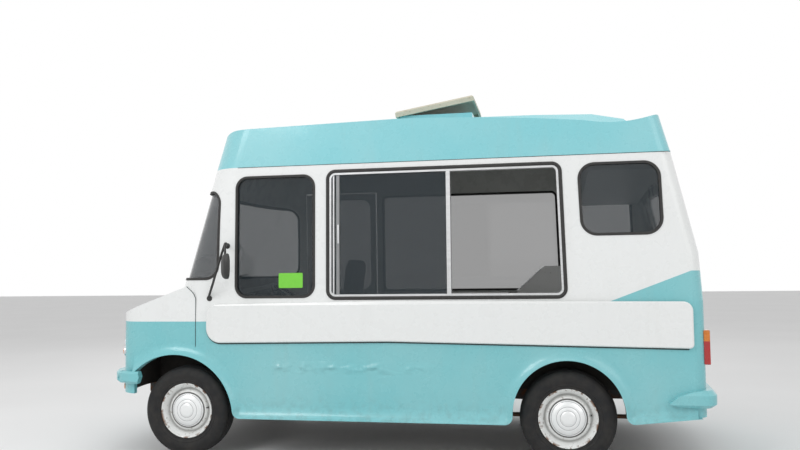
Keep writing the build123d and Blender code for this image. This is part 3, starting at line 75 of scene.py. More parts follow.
# Studio: a pale floor, a white surround and four large soft lamps. Every finish, here and below, is a node
# graph in object coordinates, built with this class, and every piece is linked by the two calls after it.
class Finish:
    """A Principled material that keeps the name of a material slot, and short calls that add nodes to it."""

    def __init__(self, name, slot=None, rough=0.5, metal=0.0, coat=0.0):
        self.slot = slot
        self.material = bpy.data.materials.new(name)
        self.material.use_nodes = True
        self.tree = self.material.node_tree
        self.shader = self.tree.nodes["Principled BSDF"]
        self.set("Metallic", metal)
        self.set("Roughness", rough)
        self.set("Coat Weight", coat)
        self.set("Coat Roughness", 0.08)
        self.place = self.node("TexCoord")
        self.x, self.y, self.z = self.node("SeparateXYZ", self.place.outputs["Object"]).outputs

    def put(self, socket, value):
        """Gives an input a number, a colour or another node's output."""
        if isinstance(value, bpy.types.NodeSocket):
            self.tree.links.new(value, socket)
        elif isinstance(value, tuple) and len(socket.default_value) > len(value):
            socket.default_value = (*value, 1.0)
        else:
            socket.default_value = value

    def set(self, name, value):
        """Gives one of the shader's inputs its value."""
        self.put(self.shader.inputs[name], value)

    def node(self, kind, *values, **settings):
        """One new node, with its settings by name and its inputs in order."""
        node = self.tree.nodes.new(f"ShaderNode{kind}")
        for name, setting in settings.items():
            setattr(node, name, setting)
        for socket, value in zip(node.inputs, values):
            self.put(socket, value)
        return node

    def sum(self, operation, first, second=0.0):
        """One arithmetic node."""
        return self.node("Math", first, second, operation=operation).outputs[0]

    def times(self, first, second):
        """The product of two values."""
        return self.sum("MULTIPLY", first, second)

    def either(self, first, second):
        """The larger of two values."""
        return self.sum("MAXIMUM", first, second)

    def apart(self, value, place):
        """How far a value lies from a place, on either side."""
        return self.sum("ABSOLUTE", self.sum("SUBTRACT", value, place))

    def length(self, first, second):
        """The root of two values' squares added."""
        return self.sum("SQRT", self.sum("ADD", self.times(first, first), self.times(second, second)))

    def ramp(self, value, low, high, start=0.0, end=1.0):
        """Maps a value between two limits onto a new range, held at its ends."""
        return self.node("MapRange", value, low, high, start, end).outputs[0]

    def noise(self, scale, detail, stretch=(1.0, 1.0, 1.0)):
        """Soft random values over the object."""
        scaled = self.node("Mapping", self.place.outputs["Object"])
        scaled.inputs["Scale"].default_value = stretch
        node = self.node("TexNoise", scaled.outputs[0])
        node.inputs["Scale"].default_value = scale
        node.inputs["Detail"].default_value = detail
        return node.outputs["Fac"]

    def blend(self, share, first, second):
        """Mixes two colours."""
        node = self.node("Mix", data_type="RGBA")
        self.put(node.inputs[0], share)
        self.put(node.inputs[6], first)
        self.put(node.inputs[7], second)
        return node.outputs[2]

    def cover(self, share, color):
        """Lays a colour over the one so far, by its share."""
        so_far = self.shader.inputs["Base Color"].links[0].from_socket
        self.set("Base Color", self.blend(share, so_far, color))

    def gloss(self, grain, low, high, start, end):
        """Roughness that wanders with a noise of scale, detail and stretch."""
        self.set("Roughness", self.ramp(self.noise(*grain), low, high, start, end))

    def bump(self, height, strength, depth):
        """Raises the surface's shading by a height, on top of earlier bumps."""
        node = self.node("Bump")
        node.inputs["Strength"].default_value = strength
        node.inputs["Distance"].default_value = depth
        self.put(node.inputs["Height"], height)
        for link in self.shader.inputs["Normal"].links:
            self.tree.links.new(link.from_socket, node.inputs["Normal"])
        self.set("Normal", node.outputs[0])

    def ribs(self, value, pitch, strength, depth):
        """Straight ribs: the sine of a value times their pitch, raised and returned."""
        wave = self.sum("SINE", self.times(value, pitch))
        self.bump(wave, strength, depth)
        return wave


def mottled(name, slot, rough, grain, dark, light, pits=None, metal=0.0, coat=0.0):
    """A finish between two colours by a noise of scale, detail and stretch.

    pits gives the scale and detail of a second noise, then the strength and depth of its bump.
    """
    finish = Finish(name, slot, rough, metal, coat)
    finish.set("Base Color", finish.blend(finish.noise(*grain), dark, light))
    if pits:
        scale, detail, strength, depth = pits
        finish.bump(finish.noise(scale, detail), strength, depth)
    return finish


def shown(name, mesh, finish, body="van", crease=40):
    """Links a mesh as a piece of the van, its faces outward and its sharp edges kept."""
    work = bmesh.new()
    work.from_mesh(mesh)
    bmesh.ops.remove_doubles(work, verts=work.verts, dist=1e-6)
    bmesh.ops.recalc_face_normals(work, faces=work.faces)
    work.to_mesh(mesh)
    work.free()
    mesh.shade_smooth()
    mesh.set_sharp_from_angle(angle=math.radians(crease))
    piece = bpy.data.objects.new(name, mesh)
    bpy.context.collection.objects.link(piece)
    mesh.materials.append(finish.material)
    if body:
        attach(piece, body)
    return piece


def surface(name, points, finish, body="van", loop_u=False, loop_v=True, capped=False, crease=40):
    """A skin over a grid of points: rows are the first parameter and columns the second.

    Capped, its first and last rows are each closed by one vertex at the row's mean.
    """
    rows, columns = points.shape[:2]
    vertices = points.reshape(-1, 3)
    index = np.arange(rows * columns).reshape(rows, columns)
    if loop_u:
        index = np.vstack([index, index[:1]])
    if loop_v:
        index = np.hstack([index, index[:, :1]])
    quads = np.stack([index[:-1, :-1], index[1:, :-1], index[1:, 1:], index[:-1, 1:]], axis=-1)
    faces = quads.reshape(-1, 4).tolist()
    for row in (index[0], index[-1]) if capped else ():
        tip = np.full(columns, len(vertices))
        vertices = np.vstack([vertices, vertices[row[:columns]].mean(axis=0)])
        faces += np.stack([row[:-1], row[1:], tip], axis=1).tolist()
    mesh = bpy.data.meshes.new(name)
    mesh.from_pydata(vertices.tolist(), [], faces)
    return shown(name, mesh, finish, body, crease)


FLOOR_REACH = 40.0
floor_finish = mottled("studio_floor", None, 0.75, (0.6, 2.0), (0.80, 0.80, 0.80), (0.86, 0.86, 0.86))
span = np.linspace(-FLOOR_REACH, FLOOR_REACH, 21)
floor_points = np.stack(np.meshgrid(span, span, [0.0], indexing="ij"), axis=-1)[:, :, 0]
floor = surface("studio_floor", floor_points, floor_finish, None, loop_v=False)

world = bpy.data.worlds.new("studio")
bpy.context.scene.world = world
world.use_nodes = True
sky = world.node_tree
plain = sky.nodes["Background"]
plain.inputs["Color"].default_value = (1.0, 1.0, 1.0, 1.0)
WORLD_LIGHT = 0.62
rays = sky.nodes.new("ShaderNodeLightPath").outputs
seen = rays["Is Camera Ray"]
for kind in ("Is Glossy Ray", "Is Transmission Ray"):
    either = sky.nodes.new("ShaderNodeMath")
    either.operation = "MAXIMUM"
    sky.links.new(seen, either.inputs[0])
    sky.links.new(rays[kind], either.inputs[1])
    seen = either.outputs[0]
level = sky.nodes.new("ShaderNodeMapRange")
level.inputs["To Min"].default_value = WORLD_LIGHT
level.inputs["To Max"].default_value = 1.0
sky.links.new(seen, level.inputs["Value"])
sky.links.new(level.outputs[0], plain.inputs["Strength"])

# Columns: lamp, place, size, watts
LAMPS = (
    ("key", (-4.5, -7.5, 6.5), 4.0, 250.0),
    ("fill", (6.0, -6.5, 4.5), 5.0, 95.0),
    ("back", (-2.0, 7.0, 5.5), 5.0, 95.0),
    ("overhead", (0.5, -1.0, 7.5), 5.0, 95.0),
)
LAMP_TARGET = Vector((0, 0, 1.1))
for lamp_name, place, size, power in LAMPS:
    lamp_data = bpy.data.lights.new(lamp_name, "AREA")
    lamp_data.size = size
    lamp_data.energy = power
    lamp = bpy.data.objects.new(lamp_name, lamp_data)
    lamp.location = place
    lamp.rotation_euler = (LAMP_TARGET - Vector(place)).to_track_quat("-Z", "Y").to_euler()
    bpy.context.collection.objects.link(lamp)

bpy.context.scene.view_settings.view_transform = "Standard"


# Body panels: glass-fibre mouldings sprayed white above and aqua below, with a proud white waist band.
# Each is the CAD panel with its flat faces joined and its edges eased, as a mould leaves them. Inside they
# are lined in pale grey, and dark with underseal near the wheels.
def middle(node):
    """Centre of a CAD node's box."""
    low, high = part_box(node)
    return (low + high) / 2


FRONT_X = middle("tyre_front_left").x
REAR_X = middle("tyre_rear_left").x
AXLE_Z = middle("tyre_front_left").z
WHITE = (0.825, 0.84, 0.837)
AQUA = (0.185, 0.54, 0.58)
FADED = (0.78, 0.80, 0.76)
STREAKED = (0.42, 0.40, 0.34)
GRIME = (0.10, 0.085, 0.06)
CHIPPED = (0.30, 0.27, 0.22)
LINING = ((0.5264, 0.5358, 0.517), (0.588, 0.5985, 0.5775))
UNDERSEALED = (0.022, 0.021, 0.019)
UNDERSEAL_REACH = 0.47
UNDERSEAL_TOP = 0.50
NOSE_LINE = 0.959
BAND_FRONT_X = FRONT_X + 0.181
BAND_BEND_X = FRONT_X + 1.5
BAND_REAR_X = FRONT_X + 3.484
BAND_CORNER = 0.20
BAND_FRONT_Z = 0.808
BAND_BEND_Z = 0.824
BAND_REAR_DROP = 0.037
WEDGE_FRONT_X = FRONT_X + 2.976
WEDGE_LOW = 1.088
WEDGE_HIGH = 1.282
PANEL_FACE = 0.9565
MASK_EDGE = 0.0008
JOIN_ANGLE = math.radians(1.2)


def below(paint, value, limit):
    """One where a value lies under a limit, with an edge as sharp as masking tape."""
    return paint.ramp(paint.sum("SUBTRACT", limit, value), -MASK_EDGE, MASK_EDGE)


def paint_mask(paint):
    """One where the two-tone body is aqua: nose and skirt bands, and the wedge behind the rear window."""
    off_band = below(paint, paint.sum("ABSOLUTE", paint.y), PANEL_FACE)
    ahead = below(paint, paint.x, BAND_FRONT_X)
    corner = paint.times(off_band, below(paint, paint.x, BAND_FRONT_X + BAND_CORNER))
    nose = paint.times(below(paint, paint.z, NOSE_LINE), paint.either(ahead, corner))
    foot = paint.sum(
        "ADD",
        paint.ramp(paint.x, BAND_FRONT_X, BAND_BEND_X, BAND_FRONT_Z, BAND_BEND_Z),
        paint.ramp(paint.x, BAND_BEND_X, BAND_REAR_X, 0.0, -BAND_REAR_DROP),
    )
    skirt = below(paint, paint.z, foot)
    rise = paint.ramp(paint.x, WEDGE_FRONT_X, BAND_REAR_X, WEDGE_LOW, WEDGE_HIGH)
    past = below(paint, BAND_REAR_X + 0.001, paint.x)
    wedge = paint.times(below(paint, paint.z, rise), below(paint, WEDGE_FRONT_X, paint.x))
    wedge = paint.times(wedge, paint.either(off_band, past))
    return paint.either(paint.either(nose, skirt), wedge)


def wheel_reach(finish):
    """Distance of a point from the middle of its own wheel, seen from the side."""
    back = finish.sum("MINIMUM", finish.apart(finish.x, FRONT_X), finish.apart(finish.x, REAR_X))
    return finish.length(back, finish.sum("SUBTRACT", finish.z, AXLE_Z))


def body_paint(name, slot, aqua, two_tone=False, ceiling=False, lined=True):
    """Aged gloss paint: slow waves, faded patches, rain streaks, road dirt low down and stone chips."""
    paint = Finish(name, slot, rough=0.3, coat=0.35)
    color = paint.blend(paint_mask(paint) if two_tone else 1.0, WHITE, aqua)
    color = paint.blend(paint.ramp(paint.noise(1.7, 4.0), 0.35, 0.7, 0.0, 0.10), color, FADED)
    streak = paint.ramp(paint.noise(9.0, 5.0, (1.0, 1.0, 0.12)), 0.55, 0.75, 0.0, 0.07)
    color = paint.blend(streak, color, STREAKED)
    splash = paint.ramp(paint.z, 0.28, 0.50, 0.26, 0.0)
    color = paint.blend(paint.times(splash, paint.ramp(paint.noise(22.0, 8.0), 0.45, 0.75)), color, GRIME)
    chips = paint.ramp(paint.noise(140.0, 2.0), 0.74, 0.76)
    color = paint.blend(paint.times(chips, paint.ramp(paint.z, 0.3, 0.9, 0.5, 0.0)), color, CHIPPED)
    if lined:
        # A face lies inside where it looks back to the van's middle line.
        place, facing = paint.place.outputs["Object"], paint.place.outputs["Normal"]
        level_place = paint.node("VectorMath", place, (0.5, 1.0, 0.0), operation="MULTIPLY").outputs[0]
        inward = paint.node("VectorMath", level_place, facing, operation="DOT_PRODUCT").outputs["Value"]
        inside = paint.ramp(inward, -0.30, -0.34)
        if ceiling:
            faced_down = paint.ramp(paint.node("SeparateXYZ", facing).outputs[2], -0.40, -0.44)
            inside = paint.either(inside, faced_down)
        lining = paint.blend(paint.noise(30.0, 3.0), *LINING)
        by_wheel = below(paint, wheel_reach(paint), UNDERSEAL_REACH)
        under = paint.either(by_wheel, below(paint, paint.z, UNDERSEAL_TOP))
        color = paint.blend(inside, color, paint.blend(under, lining, UNDERSEALED))
    paint.set("Base Color", color)
    paint.gloss((14.0, 4.0), 0.3, 0.75, 0.22, 0.38)
    paint.bump(paint.noise(1.9, 1.0), 0.12, 0.008)
    paint.bump(paint.noise(420.0, 1.0), 0.010, 0.0004)
    return paint


def dressed(name, node, finish, ease=0.0, steps=2, body="van", slot=None, angle=30):
    """A merged copy of a CAD node that stands for it, its flat faces joined and its edges eased."""
    work = bmesh.new()
    work.from_mesh(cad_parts[node].data)
    bmesh.ops.remove_doubles(work, verts=work.verts, dist=2e-5)
    bmesh.ops.dissolve_limit(work, angle_limit=JOIN_ANGLE, verts=work.verts, edges=work.edges)
    mesh = bpy.data.meshes.new(name)
    work.to_mesh(mesh)
    work.free()
    mesh.materials.clear()
    piece = shown(name, mesh, finish, body, angle)
    if ease:
        bevel = piece.modifiers.new("ease", "BEVEL")
        bevel.width = ease
        bevel.segments = steps
        bevel.limit_method = "ANGLE"
        bevel.angle_limit = math.radians(angle)
        bevel.use_clamp_overlap = True
        bevel.harden_normals = True
    smooth = piece.modifiers.new("weights", "WEIGHTED_NORMAL")
    smooth.keep_sharp = True
    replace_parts(piece, node)
    return piece


two_tone = body_paint("paint_white_and_aqua", "body_white", AQUA, two_tone=True)
nose_paint = body_paint("paint_nose", "body_teal", AQUA, two_tone=True, lined=False)
# Columns: piece, node, finish, eased edge, steps, body, slot
PANELS = (
    ("left_side_panel", "side_left", two_tone, 0.004, 2, "van", "body_white"),
    ("right_side_panel", "side_right", two_tone, 0.004, 2, "van", "body_white"),
    ("screen_surround", "windscreen_surround", two_tone, 0.004, 2, "van", "body_white"),
    ("nose_moulding", "nose_panel", nose_paint, 0.012, 3, "van", "body_teal"),
    ("rear_moulding", "rear_panel", two_tone, 0.004, 2, "van", "body_white"),
    ("bonnet_skin", "bonnet", two_tone, 0.003, 2, "bonnet", "body_teal"),
    ("rear_door_skin", "rear_door", two_tone, 0.003, 2, "rear_door", "body_white"),
    ("driver_door_skin", "driver_door", two_tone, 0.003, 2, "driver_door", "body_white"),
)
for row in PANELS:
    dressed(*row)

# Skirts and bumpers: aqua mouldings bolted on below the waist. Flared lips run round the arches and along
# the sill, and the left skirt has a scraped crease with shallow dents along its middle.
DENT_START = FRONT_X + 0.62
DENT_END = FRONT_X + 1.95
DENT_Z = 0.640
DENT_REACH = 0.045
skirt_paint = body_paint("paint_aqua", "body_teal", AQUA)
beside = skirt_paint.ramp(skirt_paint.apart(skirt_paint.z, DENT_Z), 0.004, DENT_REACH, 1.0, 0.0)
along = skirt_paint.times(
    skirt_paint.ramp(skirt_paint.x, DENT_START, DENT_START + 0.1),
    skirt_paint.ramp(skirt_paint.x, DENT_END - 0.5, DENT_END, 1.0, 0.0),
)
dent_zone = skirt_paint.times(skirt_paint.times(beside, along), below(skirt_paint, skirt_paint.y, 0.0))
dents = skirt_paint.ramp(skirt_paint.noise(9.5, 1.0, (1.0, 1.0, 1.5)), 0.44, 0.68)
skirt_paint.bump(skirt_paint.times(dents, dent_zone), 0.9, 0.015)
dressed("skirt_mouldings", "skirts", skirt_paint, 0.004, 3)
dressed("bumper_blades", "bumpers", nose_paint, 0.010, 3, angle=25)

# Roof: one glass-fibre moulding with a brow, a raised middle and a ducktail, bonded over the side panels
# and lined in pale grey inside.
# Painted highlight: the roof's aqua is lighter than the skirts' to stand for the light falling on its top.
ROOF_AQUA_WITH_PAINTED_SKYLIGHT = (0.225, 0.60, 0.655)
roof_paint_with_painted_skylight = body_paint("paint_roof_aqua_with_painted_skylight", "body_teal", ROOF_AQUA_WITH_PAINTED_SKYLIGHT, ceiling=True)
dressed("roof_moulding", "roof", roof_paint_with_painted_skylight, 0.014, 3)

# Roof lid: a cream plastic tray pressed in one piece, weathered by the sun, over the roof's upstand. It
# hangs on hinges at its front edge and is held a little open.
cream = mottled(
    "aged_cream_plastic", "lid_cream", 0.5, (6.0, 5.0), (0.50, 0.46, 0.36), (0.62, 0.58, 0.47),
    (80.0, 3.0, 0.15, 0.0006),
)
cream.cover(cream.ramp(cream.noise(45.0, 6.0), 0.6, 0.8), (0.30, 0.26, 0.18))
dressed("roof_lid_tray", "hatch_lid", cream, 0.006, 3, "hatch_lid")

# Rubber window seals: extruded black strips with a chalky bloom, pressed over the panels' cut edges. They
# hold the fixed glass without a frame.
rubber = mottled(
    "weathered_rubber", "seal_rubber", 0.7, (60.0, 4.0), (0.012, 0.012, 0.013), (0.045, 0.043, 0.040),
    (300.0, 2.0, 0.2, 0.0003),
)
dressed("rubber_seals", "window_seals", rubber, 0.0025)

# Window glass: toughened panes with a dark tint and a film of dust, held in their rubbers and door frames.
# Each is thin, so alpha clears it.
glass = Finish("window_glass", "clear_glass")
glass.set("Base Color", (0.020, 0.032, 0.040))
glass.set("Alpha", 0.44)
glass.set("IOR", 1.52)
glass.gloss((5.0, 5.0), 0.4, 0.8, 0.02, 0.10)
dressed("window_panes", "fixed_glass", glass)
dressed("driver_door_pane", "driver_door_glass", glass, body="driver_door")
dressed("rear_door_pane", "rear_door_glass", glass, body="rear_door")

# Serving frame: drawn aluminium channels screwed round the hatch, with a fixed divider between its halves.
# The metal is satin, with fine lines from the die along its length.
BRUSHED = (90.0, 3.0, (0.15, 1.0, 1.0))
aluminium = mottled(
    "satin_aluminium", "frame_aluminium", 0.36, BRUSHED, (0.56, 0.57, 0.58), (0.74, 0.75, 0.75), metal=0.9
)
aluminium.gloss(BRUSHED, 0.3, 0.7, 0.28, 0.48)
dressed("serving_frame_channels", "serving_frame", aluminium, 0.002)

# Serving window: a black rubber surround pressed over the frame's outer edge, and upright aluminium stiles
# on the two sliding panes. Both follow the body's side, whose half width is given at five heights.
LEVEL_Z = (0.164, 1.085, 1.400, 2.060, 2.520)
LEVEL_Y = (0.955, 0.955, 0.9476, 0.932, 0.908)
WINDOW_CORNERS = (
    (FRONT_X + 1.075, 1.119),
    (FRONT_X + 2.698, 1.119),
    (FRONT_X + 2.676, 2.008),
    (FRONT_X + 1.075, 2.008),
)
WINDOW_RADIUS = 0.055


def rounded(corners, radius, steps=9):
    """Points round an outline whose corners are arcs: each arc runs between its two tangent points."""
    corners = np.array(corners)
    before = np.roll(corners, 1, axis=0) - corners
    after = np.roll(corners, -1, axis=0) - corners
    before /= np.linalg.norm(before, axis=1)[:, None]
    after /= np.linalg.norm(after, axis=1)[:, None]
    half = np.arccos((before * after).sum(axis=1)) / 2
    middle_way = (before + after) / np.linalg.norm(before + after, axis=1)[:, None]
    centre = corners + middle_way * (radius / np.sin(half))[:, None]
    start = corners + before * (radius / np.tan(half))[:, None] - centre
    end = corners + after * (radius / np.tan(half))[:, None] - centre
    sweep = (np.pi - 2 * half)[:, None]
    part = np.linspace(0, 1, steps)[None, :] * sweep
    first = (np.sin(sweep - part) / np.sin(sweep))[:, :, None] * start[:, None]
    second = (np.sin(part) / np.sin(sweep))[:, :, None] * end[:, None]
    return (centre[:, None] + first + second).reshape(-1, 2)


def around(name, corners, radius, profile, finish):
    """A profile carried round a left window: its rows give distance outwards and height off the body's side."""
    ring = rounded(corners, radius)
    ahead = np.roll(ring, -1, axis=0) - np.roll(ring, 1, axis=0)
    normal = np.stack([ahead[:, 1], -ahead[:, 0]], axis=1) / np.linalg.norm(ahead, axis=1)[:, None]
    outwards, proud = np.array(profile).T[:, :, None]
    flat = ring[None] + normal[None] * outwards[:, :, None]
    out = np.interp(flat[:, :, 1], LEVEL_Z, LEVEL_Y) + proud
    points = np.stack([flat[:, :, 0], -out, flat[:, :, 1]], axis=-1)
    return surface(name, points, finish, loop_u=True, crease=50)


SURROUND_PROFILE = (
    (0.012, -0.0005), (0.012, 0.004), (0.007, 0.0085), (-0.007, 0.0085), (-0.012, 0.004), (-0.012, -0.004),
)
around("serving_surround", WINDOW_CORNERS, WINDOW_RADIUS, SURROUND_PROFILE, rubber)


def bar(name, path, section, over, finish):
    """A bar: a section carried along a path, square to it, with its second width towards over."""
    path = np.asarray(path, dtype=float)
    ahead = np.gradient(path, axis=0)
    ahead /= np.linalg.norm(ahead, axis=1)[:, None]
    across = np.cross(ahead, np.asarray(over, dtype=float))
    across /= np.linalg.norm(across, axis=1)[:, None]
    up_way = np.cross(across, ahead)
    points = path[:, None] + section[None, :, :1] * across[:, None] + section[None, :, 1:] * up_way[:, None]
    return surface(name, points, finish, capped=True, crease=30)


def soft_section(width, depth, corner):
    """Outline of a bar's section: a rectangle whose corners are arcs."""
    corners = ((-width, -depth), (width, -depth), (width, depth), (-width, depth))
    return rounded(np.array(corners) / 2, corner, 4)


# Painted shade: a darker copy of the frame's aluminium for the stile seen behind the glass.
aluminium_painted_shade = mottled(
    "aluminium_with_painted_shade", "frame_aluminium", 0.5, (90.0, 3.0, (1.0, 1.0, 0.15)),
    (0.22, 0.225, 0.23), (0.32, 0.325, 0.33), (300.0, 2.0, 0.1, 0.0003), metal=0.6,
)
PANE_DEPTH = 0.011
PANE_FOOT, PANE_TOP = 1.146, 1.981
PULL_X = FRONT_X + 1.150
PULL_LINE = ((-0.941, 1.50), (-0.943, 1.53), (-0.943, 1.60), (-0.941, 1.63))
heights = np.linspace(PANE_FOOT, PANE_TOP, 9)
out = np.interp(heights, LEVEL_Z, LEVEL_Y) - PANE_DEPTH
# Columns: place behind the front axle, width, finish
for number, (back, width, finish) in enumerate(((1.146, 0.024, aluminium_painted_shade), (1.115, 0.012, aluminium))):
    path = np.stack([0 * heights + FRONT_X + back, -out, heights], axis=1)
    bar(f"pane_stile_{number}", path, soft_section(width, 0.011, 0.003), (0, -1, 0), finish)
path = [(PULL_X, y, z) for y, z in PULL_LINE]
bar("pane_pull", path, soft_section(0.014, 0.012, 0.004), (0, -1, 0), aluminium)

# Window card: a plain green vinyl label with round corners, stuck low on the cab's left glass. It is a
# thin plate that follows the body's side.
CARD_FRONT, CARD_REAR = FRONT_X + 0.712, FRONT_X + 0.889
CARD_LOW, CARD_HIGH = 1.193, 1.298
CARD_CORNERS = ((CARD_FRONT, CARD_LOW), (CARD_REAR, CARD_LOW), (CARD_REAR, CARD_HIGH), (CARD_FRONT, CARD_HIGH))
CARD_RADIUS, CARD_THICKNESS = 0.008, 0.0006
card_green = mottled(
    "green_vinyl_card", "counter_white", 0.35, (40.0, 3.0), (0.17, 0.60, 0.045), (0.21, 0.66, 0.06),
    (60.0, 2.0, 0.08, 0.0004),
)


def seated(nodes, start, aim):
    """Where a line from a place first meets the CAD nodes, and which way their surface faces there."""
    found = []
    for node in nodes.split():
        work = bmesh.new()
        work.from_mesh(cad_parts[node].data)
        place, normal, _, distance = BVHTree.FromBMesh(work).ray_cast(Vector(start), Vector(aim).normalized())
        work.free()
        if place is not None:
            found.append((distance, place, normal))
    _, place, normal = min(found, key=lambda hit: hit[0])
    return place, normal if normal.dot(Vector(aim)) <= 0 else -normal


card_place, _ = seated("fixed_glass", (FRONT_X + 0.80, -2.0, 1.245), (0, 1, 0))
card_depth = np.interp(card_place.z, LEVEL_Z, LEVEL_Y) + card_place.y
# The card's rings shrink from its outline to its middle, over the front and back again underneath.
share = np.array([0.45, 0.8, 1.0, 1.0, 0.8, 0.45])[:, None, None]
lift = CARD_THICKNESS * np.array([1, 1, 1, 0, 0, 0])[:, None]
centre = np.array(CARD_CORNERS).mean(axis=0)
flat = centre + (rounded(CARD_CORNERS, CARD_RADIUS)[None] - centre) * share
out = np.interp(flat[:, :, 1], LEVEL_Z, LEVEL_Y) - card_depth + lift
points = np.stack([flat[:, :, 0], -out, flat[:, :, 1]], axis=-1)
surface("green_window_card", points, card_green, capped=True, crease=30)

# Tyres: black radials moulded with sidewall ribs, a rounded shoulder and four tread grooves, seated on the
# rims. Each is a section spun about its axle.
low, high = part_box("tyre_front_left")
TYRE_RADIUS, TYRE_HALF = (high.z - low.z) / 2, (high.y - low.y) / 2
WHEEL_Y = abs(middle("tyre_front_left").y)
WHEEL_STEPS = 144
# Columns: wheel, place of its axle along the van, side
WHEELS = (
    ("front_left", FRONT_X, -1),
    ("front_right", FRONT_X, 1),
    ("rear_left", REAR_X, -1),
    ("rear_right", REAR_X, 1),
)
# Columns: radius, distance in from the tyre's widest place
SIDEWALL = (
    (0.192, 0.026), (0.197, 0.016), (0.203, 0.010), (0.208, 0.011), (0.222, 0.004), (0.226, 0.0055),
    (0.245, 0.0005), (0.262, 0.0), (0.266, 0.0015), (0.284, 0.004), (0.297, 0.011), (0.306, 0.0185),
    (0.3115, 0.026),
)
# Columns: radius, distance out from the tyre's middle
TREAD = (
    (0.3135, 0.048), (0.306, 0.0465), (0.306, 0.0405), (0.3155, 0.039),
    (0.317, 0.020), (0.3085, 0.0185), (0.3085, 0.0125), (TYRE_RADIUS, 0.011),
)
outer_half = np.concatenate([np.array(SIDEWALL) * (1, -1) + (0, TYRE_HALF), TREAD])
TYRE_SECTION = np.concatenate([outer_half, outer_half[::-1] * (1, -1)])


def spun(name, section, centre, out, finish, body="van", slot=None, steps=72, crease=35, loop=False):
    """A section spun about a line: rows give radius and distance outwards along the line."""
    out = Vector(out).normalized()
    across = out.orthogonal().normalized()
    over = out.cross(across)
    angle = np.linspace(0, 2 * np.pi, steps, endpoint=False)[None, :, None]
    radius, ahead = np.array(section).T[:, :, None, None]
    ring = np.array(across) * np.cos(angle) + np.array(over) * np.sin(angle)
    points = np.array(centre) + radius * ring + ahead * np.array(out)
    return surface(name, points, finish, body, loop_u=loop, crease=crease)


tyre_rubber = Finish("tyre_rubber", "tyre_black", rough=0.75)
dust = tyre_rubber.ramp(tyre_rubber.noise(18.0, 6.0), 0.35, 0.75)
tyre_rubber.set("Base Color", tyre_rubber.blend(dust, (0.006, 0.006, 0.007), (0.020, 0.018, 0.016)))
tyre_rubber.bump(tyre_rubber.noise(260.0, 3.0), 0.25, 0.0005)
for wheel, wheel_x, sign in WHEELS:
    centre = (wheel_x, sign * WHEEL_Y, AXLE_Z)
    name, body = f"tyre_{wheel}_rubber", f"road_wheel_{wheel}"
    tyre = spun(name, TYRE_SECTION, centre, (0, sign, 0), tyre_rubber, body, steps=WHEEL_STEPS, loop=True)
    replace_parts(tyre, f"tyre_{wheel}")

# Tread blocks: rows of small raised bars moulded across the two outer ribs, one joined mesh to a tyre.
# Each block has four corners at its foot and four at its top, turned by its place round the tyre.
TREAD_COUNT = 64
TREAD_PITCH = 2 * np.pi / TREAD_COUNT
BLOCK_SHARE = 0.26
BLOCK_FOOT, BLOCK_TOP = 0.304, 0.3145
SHOULDER, SHOULDER_TOP = 0.06, 0.310
BLOCK_FACES = ((4, 5, 6, 7), (0, 1, 5, 4), (1, 2, 6, 5), (2, 3, 7, 6), (3, 0, 4, 7), (3, 2, 1, 0))
corner_turn = BLOCK_SHARE * np.array([-1, 1, 1, -1] * 2)
for wheel, wheel_x, sign in WHEELS:
    rows = []
    # Columns: inner and outer edge, shift round the tyre in pitches
    for edge_low, edge_high, shift in ((0.0495, 0.068, 0.0), (-0.068, -0.0495, 0.5)):
        angle = (np.arange(TREAD_COUNT)[:, None] + shift + corner_turn) * TREAD_PITCH
        out = np.array([edge_low, edge_low, edge_high, edge_high] * 2)
        radius = np.where(np.abs(out) > SHOULDER, SHOULDER_TOP, BLOCK_TOP)
        radius[:4] = BLOCK_FOOT
        across = sign * (WHEEL_Y + out) + 0 * angle
        rows.append(np.stack([wheel_x + radius * np.cos(angle), across, AXLE_Z + radius * np.sin(angle)], axis=-1))
    blocks = np.concatenate(rows)
    faces = 8 * np.arange(len(blocks))[:, None, None] + np.array(BLOCK_FACES)
    tread = bpy.data.meshes.new(f"tread_{wheel}")
    tread.from_pydata(blocks.reshape(-1, 3).tolist(), [], faces.reshape(-1, 4).tolist())
    shown(f"tread_{wheel}", tread, tyre_rubber, f"road_wheel_{wheel}")

# Wheels: pressed steel discs sprayed white and bolted to iron drums, chipped and rusty at the rim, each
# with a domed cap pressed into rings and clipped over the hub.
wheel_white = Finish("chipped_wheel_paint", "wheel_paint", rough=0.38, coat=0.2)
worn = wheel_white.ramp(wheel_white.noise(55.0, 8.0), 0.60, 0.66)
road_dirt = wheel_white.ramp(wheel_white.noise(12.0, 5.0), 0.4, 0.8, 0.0, 0.30)
wheel_white.set("Base Color", wheel_white.blend(road_dirt, (0.80, 0.81, 0.80), (0.36, 0.34, 0.29)))


def ring_zone(finish, reach, inner, outer, soft=0.0015):
    """One between two distances from a middle, nought elsewhere."""
    enter = finish.ramp(reach, inner - soft, inner + soft)
    return finish.times(enter, finish.ramp(reach, outer - soft, outer + soft, 1.0, 0.0))


reach = wheel_reach(wheel_white)
rusty = wheel_white.times(
    wheel_white.ramp(reach, 0.178, 0.190), wheel_white.ramp(wheel_white.noise(26.0, 6.0), 0.50, 0.60)
)
wheel_white.cover(wheel_white.times(worn, 0.55), (0.16, 0.11, 0.08))
